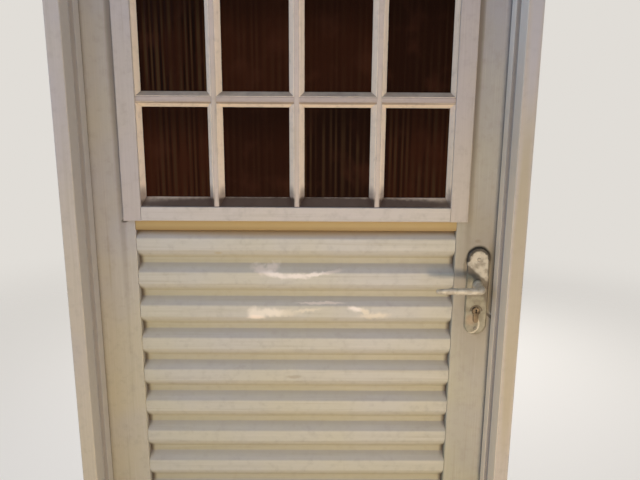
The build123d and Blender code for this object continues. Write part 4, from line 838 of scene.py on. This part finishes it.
def make_ribbed_sheet(material):
    """The ribbed sheet between the stiles, over the frame's plain one."""
    low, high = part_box("ribbed_panel")
    valley_y = high.y - RIB_SHEET
    path = []
    for rib in range(RIB_COUNT):
        top = high.z - rib * RIB_PITCH
        path.append((0.0, valley_y, top))
        path.append((0.0, low.y, top - RIB_RISE))
        path.append((0.0, low.y + RIB_CREST_FALL, top - RIB_RISE - RIB_CREST))
        path.append((0.0, valley_y, top - RIB_RISE - RIB_CREST - RIB_FALL))
    path.append((0.0, valley_y, low.z))
    start = bpy.data.meshes.new("rib path")
    start.from_pydata(path, [(i, i + 1) for i in range(len(path) - 1)], [])
    values = {"Width": high.x - low.x, "Bend Radius": RIB_SOFT_BEND, "Sheet": RIB_SHEET, "Wave": RIB_WAVE,
              "Dent Depth": DENT_DEPTH, "Dent Reach": DENT_REACH}
    tree = ribbed_sheet_tree(material)
    grow("ribbed_sheet", start, tree, values, "leaf", ["ribbed_panel"])


def lever_rings(tip_x, neck_x):
    """The sections of a lever from its seat to its tip: place, turn, half depth, half height and power."""
    elbow_x = neck_x - LEVER_BEND
    elbow_out = LEVER_REACH - LEVER_BEND
    neck_radius = LEVER_NECK[-1][1]
    arm_depth, arm_height = LEVER_ARM[0][1:]
    rings = []
    for out, radius in LEVER_NECK:
        rings.append((neck_x, out * MM, 0.0, radius * MM, radius * MM, LEVER_NECK_POWER))
    for step in range(1, LEVER_BEND_STEPS + 1):
        part = step / LEVER_BEND_STEPS
        turn = part * math.pi / 2
        rings.append((elbow_x + LEVER_BEND * math.cos(turn), elbow_out + LEVER_BEND * math.sin(turn), turn,
                      (neck_radius + (arm_depth - neck_radius) * part) * MM,
                      (neck_radius + (arm_height - neck_radius) * part) * MM,
                      LEVER_NECK_POWER + (LEVER_ARM_POWER - LEVER_NECK_POWER) * part))
    for along, half_depth, half_height in LEVER_ARM:
        rings.append((elbow_x + along * (tip_x - elbow_x), LEVER_REACH, math.pi / 2,
                      half_depth * MM, half_height * MM, LEVER_ARM_POWER))
    return rings


def lever_handle(node, side, material):
    """A cast lever: a round neck with its collar, an elbow, and an arm that narrows to its tip."""
    low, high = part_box(node)
    seat = low.y if side > 0 else high.y
    height = middle(node).z
    shape = bmesh.new()
    loops = []
    for x, out, turn, half_depth, half_height, power in lever_rings(low.x, high.x - LEVER_COLLAR):
        loop = []
        for i in range(LEVER_SIDES):
            angle = 2 * math.pi * i / LEVER_SIDES
            wide = math.copysign(abs(math.cos(angle)) ** (2 / power), math.cos(angle)) * half_depth
            tall = math.copysign(abs(math.sin(angle)) ** (2 / power), math.sin(angle)) * half_height
            loop.append(shape.verts.new((x + math.cos(turn) * wide,
                                         seat + side * (out + math.sin(turn) * wide), height + tall)))
        loops.append(loop)
    for first, second in zip(loops, loops[1:]):
        for i in range(LEVER_SIDES):
            shape.faces.new((first[i], first[i - 1], second[i - 1], second[i]))
    shape.faces.new(loops[0])
    shape.faces.new(loops[-1])
    bmesh.ops.recalc_face_normals(shape, faces=shape.faces)
    mesh = bpy.data.meshes.new(node + "_cast")
    shape.to_mesh(mesh)
    shape.free()
    mesh.shade_smooth()
    mesh.set_sharp_from_angle(angle=math.radians(LEVER_SHARP_DEGREES))
    mesh.materials.append(material)
    made = new_object(node + "_cast", mesh)
    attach(made, "lever")
    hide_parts(node)


make_camera()
make_world()
make_floor()
make_lamps()

frame_paint = brushed_enamel("brushed enamel on frame steel", "#aba3a2", "#bbaf94", painted_side_light="#ccc6ba",
                             marks=STOP_MARKS)
stile_paint = brushed_enamel("brushed enamel on leaf steel", "#a5a2a4", "#b5ac90", marks=HINGE_STILE_MARKS)
lock_stile_paint = brushed_enamel("brushed enamel on the lock stile", "#9e9c9f", "#a9a489", corner_shade_and_grime=0.4,
                                  marks=LOCK_STILE_MARKS)
rail_paint = brushed_enamel("brushed enamel on rail steel", "#a9a08f", "#b3a686", "X")
mid_rail_paint = brushed_enamel("brushed enamel on the middle rail", "#a9a08f", "#b3a686", "X",
                                marks=MID_RAIL_MARKS)
panel_paint = brushed_enamel("brushed enamel on ribbed sheet", "#b2b0ac", "#b6b19b", "X",
                             dust_and_shade_colour="#989393", corner_shade_and_grime=0.9, hollow=(-8, 2, "#9d9370", 0.6),
                             marks=PANEL_MARKS)
sash_paint = brushed_enamel("brushed enamel on sash steel", "#aca4a3", "#b7ad99")
sash_rail_paint = brushed_enamel("brushed enamel on sash rails", "#b6b0ad", "#bab2a0", "X")
bar_paint = brushed_enamel("brushed enamel on upright bars", "#b9aca4", "#bbae99", corner_shade_and_grime=0.3,
                           marks=BAR_FOOT_MARKS)
cross_bar_paint = brushed_enamel("brushed enamel on cross bars", "#a89b96", "#ac9f8e", "X", dust_and_shade=0.8,
                                 dust_and_shade_colour="#6a5e5e", corner_shade_and_grime=0.35)
# Partly its own colour, partly painted light: the putty's enamel is paler than the sash's, as its slopes look
# where light from the sides falls on them
putty_paint_and_light = brushed_enamel("enamel over linseed putty", "#e9d9c6", "#e8d7b9", dust_and_shade=0.7,
                             dust_and_shade_colour="#7a6a60", corner_shade_and_grime=0.25, marks=BAR_FOOT_MARKS + LEDGE_MARKS)
hinge_paint = brushed_enamel("enamel on steel hinges", "#b0a69e", "#b0a492")
plate_finish = overpainted_plate()
handle_metal = satin_metal("cast zinc alloy, worn satin", "#bab3a2", "#a39a88", 0.48, 0.15)
cylinder_brass = satin_metal("turned brass, tarnished", "#6c5e49", "#4a3d2c", 0.55, 0.45)
lock_steel = satin_metal("zinc plated steel", "#aeb0b2", "#84868a", 0.4)
screw_steel = satin_metal("zinc plated screw steel", "#8b887f", "#5f5a51", 0.5, 0.6)
glass = bronze_glass()

# The starts of the nodes' names and the finish of each. The other nodes are plated lock steel
FINISHES = [
    (("jamb_", "head"), frame_paint),
    (("hinge_stile",), stile_paint),
    (("lock_stile",), lock_stile_paint),
    (("top_rail", "bottom_rail"), rail_paint),
    (("mid_rail",), mid_rail_paint),
    (("ribbed_panel",), panel_paint),
    (("sash_stile",), sash_paint),
    (("sash_top", "sash_bottom"), sash_rail_paint),
    (("upright_bar",), bar_paint),
    (("cross_bar",), cross_bar_paint),
    (("glazing_putty",), putty_paint_and_light),
    (("frame_knuckle", "leaf_knuckle", "sash_hinge", "catch_post"), hinge_paint),
    (("outer_escutcheon",), plate_finish),
    (("inner_escutcheon", "outer_lever", "inner_lever"), handle_metal),
    (("outer_plug", "inner_plug", "cylinder_body", "hinge_washers"), cylinder_brass),
    (("escutcheon_screws", "faceplate_screws", "strike_screws", "cylinder_screw"), screw_steel),
    (("panes_row",), glass),
]
for name, thing in nodes.items():
    chosen = lock_steel
    for starts, finish in FINISHES:
        if name.startswith(starts):
            chosen = finish
    thing.data.materials.clear()
    thing.data.materials.append(chosen)

make_panes(glass)
make_ribbed_sheet(panel_paint)
lever_handle("outer_lever", -1, handle_metal)
lever_handle("inner_lever", 1, handle_metal)

scene = bpy.context.scene
scene.view_settings.view_transform = "Standard"
